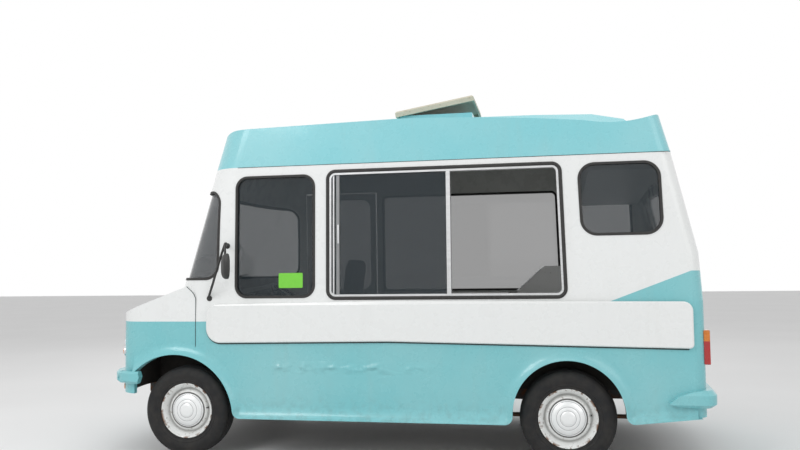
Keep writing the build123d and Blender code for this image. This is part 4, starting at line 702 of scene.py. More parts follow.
# Painted shade: a near-black ring in the gap round the cap and a grey ring in the rim's recess.
wheel_white.cover(ring_zone(wheel_white, reach, 0.118, 0.1285, 0.003), (0.06, 0.058, 0.055))
wheel_white.cover(ring_zone(wheel_white, reach, 0.148, 0.160, 0.005), (0.34, 0.34, 0.33))
wheel_white.cover(rusty, (0.17, 0.085, 0.045))
wheel_white.bump(wheel_white.noise(120.0, 3.0), 0.12, 0.0005)
cap_silver = mottled(
    "domed_cap_silver", "wheel_paint", 0.30, (30.0, 6.0), (0.86, 0.87, 0.87), (0.92, 0.93, 0.93),
    (160.0, 2.0, 0.08, 0.0004), metal=0.35,
)
reach = wheel_reach(cap_silver)
# Painted shade: grey rings laid over the cap's pressed grooves.
for inner, outer in ((0.1085, 0.1120), (0.0745, 0.0775), (0.0500, 0.0530)):
    cap_silver.cover(ring_zone(cap_silver, reach, inner, outer), (0.34, 0.345, 0.35))
drum_iron = mottled(
    "brake_drum_iron", "wheel_paint", 0.8, (25.0, 5.0), (0.05, 0.035, 0.025), (0.14, 0.08, 0.05),
    (90.0, 4.0, 0.4, 0.001), metal=0.3,
)
# Columns of the three sections: radius, distance outwards from the wheel's middle
RIM_SECTION = (
    (0.170, -0.0755), (0.1935, -0.0755), (0.1950, -0.0740), (0.1945, -0.0690), (0.1790, -0.0670), (0.1780, 0.0640),
    (0.1900, 0.0685), (0.1940, 0.0700), (0.1950, 0.0735), (0.1930, 0.0760), (0.1885, 0.0745), (0.1835, 0.0700),
    (0.1765, 0.0640), (0.1700, 0.0560), (0.1640, 0.0410), (0.1600, 0.0310), (0.1555, 0.0270), (0.1500, 0.0275),
    (0.1460, 0.0315), (0.1425, 0.0380), (0.1370, 0.0435), (0.1280, 0.0465), (0.1215, 0.0460), (0.1190, 0.0440),
    (0.1150, 0.0440), (0.0600, 0.0300), (0.0540, 0.0160), (0.0520, -0.0120), (0.1100, -0.0180), (0.1560, 0.0120),
    (0.1640, 0.0000), (0.1660, -0.0600),
)
CAP_SECTION = (
    (0.1195, 0.0445), (0.1200, 0.0480), (0.1175, 0.0520), (0.1130, 0.0550), (0.1105, 0.0540), (0.1085, 0.0550),
    (0.1000, 0.0600), (0.0900, 0.0640), (0.0800, 0.0668), (0.0765, 0.0662), (0.0735, 0.0675), (0.0640, 0.0705),
    (0.0540, 0.0728), (0.0515, 0.0718), (0.0490, 0.0730), (0.0440, 0.0760), (0.0360, 0.0780), (0.0240, 0.0790),
    (0.0120, 0.0794), (0.0005, 0.0795),
)
DRUM_SECTION = (
    (0.030, -0.058), (0.122, -0.058), (0.126, -0.052), (0.126, -0.024), (0.118, -0.018), (0.030, -0.014),
)
# Columns: piece, section, finish, crease angle, whether the section closes on itself
DISCS = (
    ("rim", RIM_SECTION, wheel_white, 50, True),
    ("cap", CAP_SECTION, cap_silver, 60, False),
    ("drum", DRUM_SECTION, drum_iron, 35, True),
)
for wheel, wheel_x, sign in WHEELS:
    centre = (wheel_x, sign * WHEEL_Y, AXLE_Z)
    for disc, section, finish, crease, loop in DISCS:
        piece = spun(
            f"wheel_{wheel}_{disc}", section, centre, (0, sign, 0), finish, f"road_wheel_{wheel}",
            steps=WHEEL_STEPS, crease=crease, loop=loop,
        )
        if disc == "rim":
            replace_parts(piece, f"wheel_{wheel}")


# Tyre valves: short rubber stems pushed through a hole in each rim, leaning outwards. Each is a tube along
# a bent line.
def tube(name, path, radius, finish, body="van", sides=14, loop=False):
    """A circle carried along a path, square to it, and narrowed by a round law to a small dome at each end."""
    path = np.asarray(path, dtype=float)
    width = np.full(len(path), radius)
    if not loop:
        ends = np.linspace(0.12, 1.0, 4)
        share = (1 - np.sqrt(1 - ends**2))[:, None]
        run_in = path[0] - (path[1] - path[0]) / np.linalg.norm(path[1] - path[0]) * radius * 0.6
        run_out = path[-1] + (path[-1] - path[-2]) / np.linalg.norm(path[-1] - path[-2]) * radius * 0.6
        first = run_in + (path[0] - run_in) * share
        last = run_out + (path[-1] - run_out) * share
        width = np.concatenate([ends, np.ones(len(path) - 2), ends[::-1]]) * radius
        path = np.concatenate([first, path[1:-1], last[::-1]])
    ahead = np.roll(path, -1, axis=0) - np.roll(path, 1, axis=0)
    if not loop:
        ahead[0] = path[1] - path[0]
        ahead[-1] = path[-1] - path[-2]
    ahead /= np.linalg.norm(ahead, axis=1)[:, None]
    guide = np.array([0.0, 0.0, 1.0]) if abs(ahead[:, 2]).max() < 0.9 else np.array([0.31, 0.95, 0.05])
    across = np.cross(ahead, guide)
    across /= np.linalg.norm(across, axis=1)[:, None]
    over = np.cross(ahead, across)
    angle = np.linspace(0, 2 * np.pi, sides, endpoint=False)[None, :, None]
    ring = across[:, None] * np.cos(angle) + over[:, None] * np.sin(angle)
    points = path[:, None] + width[:, None, None] * ring
    return surface(name, points, finish, body, loop_u=loop, capped=not loop, crease=60)


VALVE_RISE, VALVE_RADIUS = 0.02, 0.0042
# Columns: behind the wheel's middle, out from it
STEM = ((0.152, 0.024), (0.150, 0.045), (0.147, 0.058))
for wheel, wheel_x, sign in WHEELS:
    path = [(wheel_x + back, sign * (WHEEL_Y + out), AXLE_Z + VALVE_RISE) for back, out in STEM]
    tube(f"valve_{wheel}", path, VALVE_RADIUS, rubber, f"road_wheel_{wheel}")

# Underbody: riveted steel rails, arms, springs and axle, painted black and marked by road dirt and rust, with
# the cast engine block between the rails and the pressed exhaust hung below them.
chassis_paint = Finish("rusty_chassis_paint", "chassis_black", metal=0.1)
rust = chassis_paint.ramp(chassis_paint.noise(16.0, 8.0), 0.45, 0.62)
chassis_paint.set("Base Color", chassis_paint.blend(rust, (0.022, 0.022, 0.022), (0.13, 0.055, 0.025)))
chassis_paint.set("Roughness", chassis_paint.ramp(rust, 0.0, 1.0, 0.5, 0.9))
chassis_paint.bump(chassis_paint.noise(70.0, 5.0), 0.35, 0.001)
iron = mottled(
    "oily_cast_iron", "engine_iron", 0.6, (14.0, 6.0), (0.03, 0.033, 0.035), (0.15, 0.14, 0.12),
    (140.0, 4.0, 0.5, 0.001), metal=0.4,
)
pipe_steel = mottled(
    "heat_stained_steel", "exhaust_steel", 0.55, (10.0, 6.0), (0.16, 0.10, 0.07), (0.36, 0.32, 0.28),
    (80.0, 3.0, 0.2, 0.0008), metal=0.6,
)
# Columns: piece, node, finish, eased edge, steps, body
UNDER = (
    ("ladder_frame", "chassis", chassis_paint, 0.004, 2, "van"),
    ("front_axle_arms", "front_suspension", chassis_paint, 0.003, 2, "van"),
    ("left_knuckle_forging", "knuckle_left", chassis_paint, 0.002, 2, "knuckle_left"),
    ("right_knuckle_forging", "knuckle_right", chassis_paint, 0.002, 2, "knuckle_right"),
    ("track_rod_bar", "track_rod", chassis_paint, 0.001, 2, "track_rod"),
    ("rear_axle_and_springs", "rear_axle", chassis_paint, 0.002, 2, "van"),
    ("fuel_tank_skin", "fuel_tank", chassis_paint, 0.006, 2, "van"),
    ("engine_and_gearbox", "powertrain", iron, 0.008, 2, "van"),
    ("exhaust_pipes", "exhaust", pipe_steel, 0.003, 2, "van"),
)
for row in UNDER:
    dressed(*row)

# Floor: a steel deck with a ribbed rubber mat in cab and servery, and steel boxes under the seats and over
# the engine, all welded to the frame. The wheel houses are sprayed with black underseal.
deck = mottled("grey_deck_paint", "floor_grey", 0.7, (20.0, 6.0), (0.16, 0.165, 0.17), (0.27, 0.27, 0.26))
deck.ribs(deck.y, 320.0, 0.25, 0.0008)
box_grey = mottled(
    "grey_box_paint", "floor_grey", 0.55, (12.0, 5.0), (0.10, 0.10, 0.105), (0.17, 0.17, 0.17),
    (200.0, 3.0, 0.2, 0.0005),
)
underseal = mottled(
    "black_underseal", "floor_grey", 0.85, (20.0, 6.0), (0.010, 0.010, 0.010), (0.040, 0.033, 0.026),
    (160.0, 5.0, 0.5, 0.0015),
)
dressed("floor_deck", "floor", deck, 0.003)
dressed("wheel_house_boxes", "wheel_houses", underseal, 0.006)
dressed("cab_floor_boxes", "cab_boxes", box_grey, 0.008)

# Dashboard: one moulding of black plastic with a leather grain, screwed to the bulkhead, with a binnacle
# for the instruments in front of the driver.
dash = mottled(
    "grained_black_plastic", "dash_plastic", 0.6, (24.0, 4.0), (0.020, 0.020, 0.022), (0.045, 0.045, 0.047),
    (500.0, 2.0, 0.35, 0.0004),
)
dressed("dashboard_moulding", "dashboard", dash, 0.012, 3)

# Servery units: white laminated boards with worn edges, screwed to floor and walls: the counter behind the
# serving window, the work counter, the display freezer and the overhead locker.
laminate = mottled(
    "white_laminate", "counter_white", 0.32, (4.0, 5.0), (0.70, 0.71, 0.70), (0.78, 0.79, 0.78),
    (250.0, 2.0, 0.06, 0.0004), coat=0.15,
)
laminate.cover(laminate.ramp(laminate.noise(60.0, 6.0), 0.66, 0.74), (0.42, 0.40, 0.36))
dressed("servery_cabinets", "servery_units", laminate, 0.004)

# Worktop edges: flat strips of drawn aluminium, pinned along the aisle side of both worktops to keep the
# laminate from chipping.
EDGE_Z, EDGE_PROUD = 1.0875, 0.0015
EDGE_SECTION = soft_section(0.004, 0.034, 0.0015)
# Columns: side, front end, rear end, edge across the van, facing
WORKTOPS = (
    ("left", FRONT_X + 1.118, FRONT_X + 2.712, -0.480, 1),
    ("right", FRONT_X + 1.168, FRONT_X + 2.237, 0.470, -1),
)
for side_name, start, end, edge_y, way in WORKTOPS:
    path = [(x, edge_y + way * EDGE_PROUD, EDGE_Z) for x in np.linspace(start, end, 12)]
    bar(f"worktop_edge_{side_name}", path, EDGE_SECTION, (0, 0, 1), aluminium)


# Cupboards: flat doors of white laminated board with soft corners, hung on the aisle side of both units. Each
# has a pull of bent aluminium rod, screwed on from behind.
def plate(name, middle_place, across, up_way, size, radius, thick, finish):
    """A flat plate with round corners: its outline, shrunk ring by ring to the middle of both faces."""
    across = np.array(across, dtype=float)
    up_way = np.array(up_way, dtype=float)
    half = np.array(size) / 2
    outline = rounded(np.array([(-1, -1), (1, -1), (1, 1), (-1, 1)]) * half, radius, 7)
    edge = min(thick * 0.35, radius * 0.5)
    eased = 1 - edge / half.min()
    # Columns: share of the outline, height off the back face
    layers = ((0.35, 0.0), (eased, 0.0), (1.0, edge), (1.0, thick - edge), (eased, thick), (0.35, thick))
    share, lift = np.array(layers).T[:, :, None, None]
    flat = outline[:, :1] * across + outline[:, 1:] * up_way
    points = np.array(middle_place) + share * flat + lift * np.cross(across, up_way)
    return surface(name, points, finish, capped=True)


# Columns: side, front end behind the front axle, number of doors, door width, face across the van, facing
CUPBOARDS = (("left", 1.150, 4, 0.378, -0.520, 1), ("right", 1.195, 3, 0.338, 0.500, -1))
DOOR_HEIGHT, DOOR_THICKNESS, DOOR_RADIUS, DOOR_GAP = 0.500, 0.016, 0.010, 0.006
DOOR_MIDDLE_Z = 0.800
PULL_INSET, PULL_RADIUS = 0.045, 0.005
# Columns: off the door's back face, height
PULL = ((0.016, 0.93), (0.036, 0.932), (0.042, 0.945), (0.042, 1.005), (0.036, 1.018), (0.016, 1.02))
for side_name, start, count, width, face_y, way in CUPBOARDS:
    for number in range(count):
        middle_x = FRONT_X + start + (number + 0.5) * (width + DOOR_GAP)
        plate(
            f"cupboard_{side_name}_{number}", (middle_x, face_y, DOOR_MIDDLE_Z), (-way, 0, 0), (0, 0, 1),
            (width, DOOR_HEIGHT), DOOR_RADIUS, DOOR_THICKNESS, laminate,
        )
        path = [(middle_x + width / 2 - PULL_INSET, face_y + way * off, height) for off, height in PULL]
        tube(f"cupboard_pull_{side_name}_{number}", path, PULL_RADIUS, aluminium, sides=12)

# Display freezer: a sloped glass front in a frame of brushed steel rails and stiles, screwed to the
# cabinet. The bars lie over the edges of the glass.
freezer_glass = Finish("freezer_glass", "clear_glass")
freezer_glass.set("Base Color", (0.20, 0.34, 0.32))
freezer_glass.set("Alpha", 0.55)
freezer_glass.gloss((7.0, 5.0), 0.4, 0.8, 0.02, 0.14)
STEEL_GRAIN = (120.0, 3.0, (1.0, 0.06, 1.0))
steel = mottled(
    "brushed_steel", "frame_aluminium", 0.3, STEEL_GRAIN, (0.50, 0.51, 0.52), (0.66, 0.67, 0.67), metal=1.0
)
steel.gloss(STEEL_GRAIN, 0.3, 0.7, 0.22, 0.42)
slope = Vector((0.230, 0, 0.210)).normalized()
out_way = Vector((-slope.z, 0, slope.x))
slope_middle = Vector((FRONT_X + 2.445, 0.555, 1.225)) + out_way * 0.001
SLOPE_SIZE, SLOPE_RADIUS, SLOPE_THICKNESS = (0.56, 0.235), 0.012, 0.006
BAR_LIFT = 0.005
BAR_SECTION = soft_section(0.024, 0.012, 0.004)
plate(
    "freezer_front_glass", slope_middle, (0, -1, 0), slope,
    SLOPE_SIZE, SLOPE_RADIUS, SLOPE_THICKNESS, freezer_glass,
)
# Columns: bar, first end up the slope and across, last end, number of points
FREEZER_BARS = (
    ("rail_low", (-0.134, -0.305), (-0.134, 0.305), 6),
    ("rail_high", (0.134, -0.305), (0.134, 0.305), 6),
    ("stile_inner", (-0.121, -0.302), (0.121, -0.302), 4),
    ("stile_outer", (-0.121, 0.302), (0.121, 0.302), 4),
)
for bar_name, first, last, count in FREEZER_BARS:
    ends = np.linspace(first, last, count)
    path = [slope_middle + slope * rise + Vector((0, off, 0)) + out_way * BAR_LIFT for rise, off in ends]
    bar(f"freezer_{bar_name}", path, BAR_SECTION, out_way, steel)

# Body joints: beads of dark sealer pressed into the seam behind the nose and under the roof's edge. Along the
# foot of the waist band runs a dark strip that is painted shadow, standing for the shade under the proud band.
# The right band's strip is broken at the driver's door.
sealer_and_painted_shadow = mottled(
    "dark_sealer_and_painted_shadow", "seal_rubber", 0.6, (50.0, 4.0), (0.012, 0.022, 0.024), (0.035, 0.055, 0.056),
    (200.0, 2.0, 0.2, 0.0004),
)
BAND_FOOT_X = FRONT_X + np.array([0.286, 0.5, 1.0, 1.49, 1.51, 2.0, 2.5, 3.0, 3.456])
BAND_FOOT_Z = np.array([0.8093, 0.8119, 0.8179, 0.8239, 0.8238, 0.8147, 0.8053, 0.7960, 0.7875])
BAND_RADIUS = 0.105
BAND_CORNER_X, BAND_CORNER_Z = FRONT_X + 0.286, 0.9143
corner = np.linspace(np.pi, 1.5 * np.pi, 12)[:-1]
FOOT_X = np.concatenate([BAND_CORNER_X + BAND_RADIUS * np.cos(corner), BAND_FOOT_X])
FOOT_Z = np.concatenate([BAND_CORNER_Z + BAND_RADIUS * np.sin(corner), BAND_FOOT_Z])
DOOR_FRONT_X, DOOR_REAR_X = -1.180, -0.484
BAND_SHADOW_STRIP, SEAM_BEAD, ROOF_BEAD = 0.0064, 0.0024, 0.0022
SIDES = (("left", -1), ("right", 1))
# Columns: piece, side, first and last place along the van
SHADOW_STRIP_RUNS = (
    ("left", -1, -2.0, 2.0),
    ("right_front", 1, -2.0, DOOR_FRONT_X),
    ("right", 1, DOOR_REAR_X, 2.0),
)
# Painted shadow: each run is a dark tube tucked under the band's lower edge, for the shade the band casts.
for strip_name, sign, first_x, last_x in SHADOW_STRIP_RUNS:
    kept = (FOOT_X > first_x) & (FOOT_X < last_x)
    line = list(zip(FOOT_X[kept], FOOT_Z[kept]))
    if strip_name == "right":
        line.insert(0, (first_x, np.interp(first_x, BAND_FOOT_X, BAND_FOOT_Z)))
    path = []
    for foot_x, foot_z in line:
        start = (foot_x - 0.003, sign * 3.0, foot_z - 0.005)
        path.append(seated("skirts side_left side_right nose_panel", start, (0, -sign, 0))[0])
    tube(f"band_foot_painted_shadow_{strip_name}", path, BAND_SHADOW_STRIP, sealer_and_painted_shadow, sides=10)
SEAM_X = FRONT_X + np.array([0.022, 0.061, 0.080, 0.092, 0.092, 0.091, 0.091])
SEAM_Z = np.array([1.209, 1.175, 1.150, 1.122, 1.04, 0.90, 0.730])
SEAM_HALF_WIDTH = 0.9552
ROOF_JOINT_X = np.linspace(-1.10, 1.88, 24)
ROOF_JOINT_Z, ROOF_JOINT_HALF_WIDTH = 2.0590, 0.9318
for side_name, sign in SIDES:
    path = np.stack([SEAM_X, 0 * SEAM_X + sign * SEAM_HALF_WIDTH, SEAM_Z], axis=1)
    tube(f"nose_seam_bead_{side_name}", path, SEAM_BEAD, sealer_and_painted_shadow, sides=8)
    off = 0 * ROOF_JOINT_X
    path = np.stack([ROOF_JOINT_X, off + sign * ROOF_JOINT_HALF_WIDTH, off + ROOF_JOINT_Z], axis=1)
    tube(f"roof_joint_bead_{side_name}", path, ROOF_BEAD, sealer_and_painted_shadow, sides=8)

# Grille: level steel bars pressed into a frame, chromed and a little pitted, and screwed into the opening
# of the nose moulding.
chrome = mottled(
    "aged_chrome", "chrome_trim", 0.12, (40.0, 6.0), (0.62, 0.63, 0.64), (0.80, 0.80, 0.81), metal=1.0
)
chrome.gloss((90.0, 6.0), 0.4, 0.8, 0.08, 0.34)
dressed("grille_bars", "grille", chrome, 0.002)

# Head lamps: sealed bowls behind fluted domed glass, each held in the nose by a chromed ring with three
# small screws.
lamp_glass = Finish("fluted_lamp_glass", "lamp_lens", rough=0.07, metal=0.25, coat=0.6)
flutes = lamp_glass.ribs(lamp_glass.y, 820.0, 0.55, 0.0012)
# Painted light and shade: the glass's colour follows the flutes' wave, lighter on crests, darker in troughs.
flute_painted_shading = lamp_glass.blend(lamp_glass.ramp(flutes, -1.0, 1.0), (0.46, 0.50, 0.52), (0.84, 0.86, 0.86))
lamp_glass.set("Base Color", flute_painted_shading)
low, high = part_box("front_lamps")
LAMP_RADIUS = (high.z - low.z) / 2
LAMP_Y = high.y - LAMP_RADIUS
LAMP_FACE_X = low.x
# Columns of all spun sections below: radius, distance outwards
BOWL = ((0.0004, -0.0745), (0.040, -0.0745), (LAMP_RADIUS - 0.010, -0.068))
WALL = ((LAMP_RADIUS - 0.001, -0.060), (LAMP_RADIUS - 0.001, -0.002), (LAMP_RADIUS - 0.004, 0.001))
# The dome's height falls off from its middle with the square of the radius.
DOME_EDGE, DOME_RISE = 0.001, 0.016
dome_radius = np.linspace(LAMP_RADIUS - 0.006, 0.0004, 12)
DOME = np.stack([dome_radius, DOME_EDGE + DOME_RISE * (1 - (dome_radius / LAMP_RADIUS) ** 2)], axis=1)
LAMP_SECTION = np.concatenate([BOWL, WALL, DOME])
RING = (
    (LAMP_RADIUS - 0.008, 0.003), (LAMP_RADIUS - 0.007, 0.0085), (LAMP_RADIUS - 0.001, 0.0115),
    (LAMP_RADIUS + 0.007, 0.010), (LAMP_RADIUS + 0.012, 0.004), (LAMP_RADIUS + 0.0125, -0.012),
    (LAMP_RADIUS + 0.0005, -0.012), (LAMP_RADIUS + 0.0005, 0.001),
)
SCREW = ((0.0032, -0.003), (0.0032, 0.0004), (0.0024, 0.0014), (0.0003, 0.0017))
SCREW_REACH, SCREW_OUT = LAMP_RADIUS + 0.0045, 0.0105
FORWARD = (-1, 0, 0)
for side_name, sign in SIDES:
    place = Vector((LAMP_FACE_X, sign * LAMP_Y, middle("front_lamps").z))
    lamp = spun(f"head_lamp_{side_name}", LAMP_SECTION, place, FORWARD, lamp_glass)
    if side_name == "left":
        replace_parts(lamp, "front_lamps")
    spun(f"head_lamp_ring_{side_name}", RING, place, FORWARD, chrome, loop=True)
    for number, angle in enumerate((0.5, 2.6, 4.7)):
        at = place + Vector((-SCREW_OUT, SCREW_REACH * math.cos(angle), SCREW_REACH * math.sin(angle)))
        spun(f"head_lamp_screw_{side_name}_{number}", SCREW, at, FORWARD, chrome, steps=12)

# Small lamps: moulded amber turn lamps in chromed rings on the nose below the head lamps, and an amber
# reflector at each corner under the bumper's end. Each is screwed on where a line meets the moulding.
amber = mottled("amber_lens", "tail_lens", 0.15, (60.0, 3.0), (0.75, 0.19, 0.012), (0.85, 0.26, 0.02), coat=0.5)
amber.ribs(amber.z, 1500.0, 0.4, 0.0008)
# The lens is domed by the head lamp's formula.
LENS_RADIUS, LENS_EDGE, LENS_RISE = 0.028, 0.010, 0.008
dome_radius = np.linspace(LENS_RADIUS - 0.001, 0.0004, 8)
LENS_DOME = np.stack([dome_radius, LENS_EDGE + LENS_RISE * (1 - (dome_radius / LENS_RADIUS) ** 2)], axis=1)
LENS = np.concatenate([((0.0295, -0.004), (0.0295, 0.006), (LENS_RADIUS, LENS_EDGE)), LENS_DOME])
LENS_RING = ((0.0295, -0.004), (0.0295, 0.008), (0.031, 0.0095), (0.0345, 0.008), (0.037, 0.002), (0.037, -0.004))
REFLECTOR = ((0.0205, -0.003), (0.0205, 0.004), (0.0185, 0.006), (0.0004, 0.0068))
TURN_LAMP_Y, TURN_LAMP_Z = 0.835, 0.735
REFLECTOR_Y, REFLECTOR_Z = 0.845, 0.478
for side_name, sign in SIDES:
    seat = seated("nose_panel", (-3.0, sign * TURN_LAMP_Y, TURN_LAMP_Z), (1, 0, 0))
    spun(f"turn_lamp_{side_name}", LENS, *seat, amber, steps=40)
    spun(f"turn_lamp_ring_{side_name}", LENS_RING, *seat, chrome, steps=40, loop=True)
    seat = seated("nose_panel", (-3.0, sign * REFLECTOR_Y, REFLECTOR_Z), (1, 0, 0))
    spun(f"corner_reflector_{side_name}", REFLECTOR, *seat, amber, steps=32)

# Tail lamps: upright moulded lenses, amber over red, screwed to the rear corners. Fine level ribs inside
# the plastic scatter the light, and dust has faded it in patches.
tail = Finish("red_and_amber_lens", "tail_lens", rough=0.15, coat=0.4)
AMBER_FOOT = 0.829
by_height = tail.ramp(tail.z, AMBER_FOOT - 0.001, AMBER_FOOT + 0.001)
tail.set("Base Color", tail.blend(by_height, (0.45, 0.012, 0.012), (0.70, 0.20, 0.010)))
tail.cover(tail.ramp(tail.noise(30.0, 4.0), 0.4, 0.8, 0.0, 0.35), (0.25, 0.03, 0.02))
tail.ribs(tail.z, 1200.0, 0.4, 0.001)
dressed("tail_lamp_lenses", "tail_lamps", tail, 0.008, 3)

# Left mirror: an oval black plastic head turned in towards the driver, on two bent tube arms whose round
# feet are bolted to the body.
black_plastic = mottled(
    "black_moulded_plastic", "mirror_black", 0.5, (30.0, 5.0), (0.012, 0.012, 0.013), (0.040, 0.039, 0.037),
    (350.0, 2.0, 0.25, 0.0004),
)
mirror_glass = mottled(
    "mirror_glass", "mirror_black", 0.02, (20.0, 3.0), (0.74, 0.76, 0.77), (0.82, 0.84, 0.85), metal=1.0
)
mirror_glass.gloss((35.0, 5.0), 0.5, 0.8, 0.01, 0.12)


def swelled(wave, power):
    """A wave raised to a power with its sign kept, which squares off a circle as the power falls."""
    return np.sign(wave) * np.abs(wave) ** power


HEAD_PLACE = np.array([FRONT_X + 0.402, -1.112, 1.350])
HEAD_FACING = np.array([0.80, 0.60, 0.0])
HEAD_ACROSS = np.array([-0.60, 0.80, 0.0])
HEAD_HALF_WIDTH, HEAD_HALF_HEIGHT, HEAD_DEPTH = 0.062, 0.089, 0.040
OVAL_POWER = 2 / 2.6
# Columns: share of the oval's size, share of the depth from the glass to the back
HEAD_LAYERS = (
    (0.90, 0.04), (0.93, -0.03), (0.98, -0.04), (1.0, 0.02), (1.0, 0.30), (0.965, 0.52), (0.88, 0.74),
    (0.72, 0.90), (0.45, 0.985), (0.15, 1.0),
)
PANE_LAYERS = ((0.30, 0.015), (0.90, 0.015), (0.905, 0.05))
angle = np.linspace(0, 2 * np.pi, 56, endpoint=False)[:, None]
wide = HEAD_HALF_WIDTH * swelled(np.cos(angle), OVAL_POWER) * HEAD_ACROSS
oval = wide + HEAD_HALF_HEIGHT * swelled(np.sin(angle), OVAL_POWER) * np.array([0, 0, 1])


def oval_shell(name, layers, finish, crease):
    """Ovals of power 2.6 that shrink by each layer's share and lie back from the glass by its depth."""
    share, back = np.array(layers).T[:, :, None, None]
    points = HEAD_PLACE + share * oval - HEAD_DEPTH * back * HEAD_FACING
    return surface(name, points, finish, capped=True, crease=crease)


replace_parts(oval_shell("left_mirror_case", HEAD_LAYERS, black_plastic, 50), "mirror_left")
oval_shell("left_mirror_glass", PANE_LAYERS, mirror_glass, 30)
LEFT_WALL = "side_left windscreen_surround nose_panel"
foot_up, _ = seated(LEFT_WALL, (FRONT_X + 0.330, -2.0, 1.497), (0, 1, 0))
foot_down, _ = seated(LEFT_WALL, (FRONT_X + 0.197, -2.0, 1.124), (0, 1, 0))
ARM_RADIUS = 0.0085
# Columns: behind the front axle, across, height. Both arms end on their feet.
UPPER_ARM = (
    (0.386, -1.115, 1.385), (0.384, -1.112, 1.430), (0.374, -1.096, 1.487), (0.368, -1.075, 1.510),
    (0.352, -1.020, 1.512),
)
LOWER_ARM = ((0.368, -1.075, 1.510), (0.345, -1.072, 1.452), (0.296, -1.060, 1.316), (0.262, -1.035, 1.240))
FOOT_PLATE = ((0.020, -0.001), (0.020, 0.003), (0.017, 0.0055), (0.010, 0.007), (0.0004, 0.0075))
above_foot = (foot_down.x, foot_down.y - 0.012, 1.135)
landed = (foot_down.x, foot_down.y, 1.124)
for number, (arm, ends) in enumerate(((UPPER_ARM, [tuple(foot_up)]), (LOWER_ARM, [above_foot, landed]))):
    path = [(FRONT_X + back, y, z) for back, y, z in arm] + ends
    tube(f"left_mirror_arm_{number}", path, ARM_RADIUS, black_plastic)
for number, foot in enumerate((foot_up, foot_down)):
    spun(f"left_mirror_foot_{number}", FOOT_PLATE, foot, (0, -1, 0), black_plastic, steps=28)

# Right mirror: the same kind of head on two straight arms, bolted to the driver's door and swung with it.
# Its silvered pane is a thin oval plate on the head's rear face.
dressed("right_mirror_case", "mirror_right", black_plastic, 0.004, 3, "driver_door")
RIGHT_PANE = (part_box("mirror_right")[1].x + 0.0012, 1.120, 1.350)
PANE_HALF_WIDTH, PANE_HALF_HEIGHT = 0.058, 0.082
flat = np.stack([0 * angle, PANE_HALF_WIDTH * np.cos(angle), PANE_HALF_HEIGHT * np.sin(angle)], axis=-1)[:, 0]
rings = np.array([0.3, 1.0, 1.0, 0.3])[:, None, None] * flat[None]
rings[:, :, 0] += np.array([0.0, 0.0, -0.004, -0.004])[:, None]
surface("right_mirror_glass", rings + np.array(RIGHT_PANE), mirror_glass, "driver_door", capped=True, crease=30)

# Wipers: pressed steel arms and blades, painted black, on spindles through the scuttle below the
# windscreen.
dressed("wiper_arms", "wipers", black_plastic, 0.001)

# Steering wheel: a black moulded rim on three spokes, on the splined top of its column, with a horn push
# of its own in the middle.
dressed("steering_wheel_rim", "steering_wheel", black_plastic, 0.002, body="steering_wheel", slot="dash_plastic")
HUB_PLACE = Vector((FRONT_X + 0.330, 0.470, 1.060))
COLUMN_TILT = math.radians(38.0)
COLUMN_WAY = Vector((math.sin(COLUMN_TILT), 0, math.cos(COLUMN_TILT)))
HORN_PUSH = ((0.036, 0.0), (0.036, 0.004), (0.032, 0.009), (0.020, 0.012), (0.0004, 0.013))
HORN_LIFT = 0.022
spun("horn_push", HORN_PUSH, HUB_PLACE + COLUMN_WAY * HORN_LIFT, COLUMN_WAY, dash, "steering_wheel", steps=36)

# Instruments: two round dials with chromed rings, pushed into the binnacle. Each has plain marks round its
# edge and a red pointer under its glass.
DIAL_Z = 1.083
MARK_COUNT = 24.0
POINTER_TURN = 2.3
# Columns: beyond the dial's radius, off the binnacle
DIAL_RIM = ((0.0, -0.002), (0.0, 0.006), (0.003, 0.008), (0.006, 0.006), (0.006, -0.002))
# Columns: dial, place across the van, radius
for name, dial_y, radius in (("speed_dial", 0.395, 0.056), ("fuel_dial", 0.535, 0.040)):
    face = Finish(f"{name}_face", "dash_plastic", rough=0.25, coat=0.5)
    off_y = face.sum("SUBTRACT", face.y, dial_y)
    off_z = face.sum("SUBTRACT", face.z, DIAL_Z)
    reach = face.length(off_y, off_z)
    angle = face.sum("ARCTAN2", off_z, off_y)
    marks = face.ramp(face.sum("COSINE", face.times(angle, MARK_COUNT)), 0.90, 0.94)
    edge = ring_zone(face, reach, radius * 0.705, radius * 0.865, radius * 0.005)
    on_line = face.ramp(face.sum("ABSOLUTE", face.sum("ADD", angle, POINTER_TURN)), 0.05, 0.06, 1.0, 0.0)
    pointer = face.times(on_line, face.ramp(reach, radius * 0.75, radius * 0.76, 1.0, 0.0))
    face.set("Base Color", face.blend(face.times(marks, edge), (0.012, 0.012, 0.013), (0.75, 0.76, 0.74)))
    face.cover(pointer, (0.70, 0.05, 0.02))
    face.bump(face.noise(200.0, 2.0), 0.05, 0.0003)
    seat = seated("dashboard", (1.0, dial_y, DIAL_Z), (-1, 0, 0))
    spun(name, ((radius, -0.002), (radius, 0.001), (0.0004, 0.0015)), *seat, face, steps=48)
    rim = [(radius + more, off) for more, off in DIAL_RIM]
    spun(f"{name}_ring", rim, *seat, chrome, steps=48, loop=True)

# Gear lever: a bent and chromed steel rod with a black knob screwed on its end. It rises through a pleated
# rubber boot, which is moulded in one piece and sits on the engine cover.
LEVER_RADIUS = 0.006
LEVER = ((0, 0, 0), (0.010, 0.004, 0.07), (0.035, 0.012, 0.15), (0.060, 0.020, 0.205))
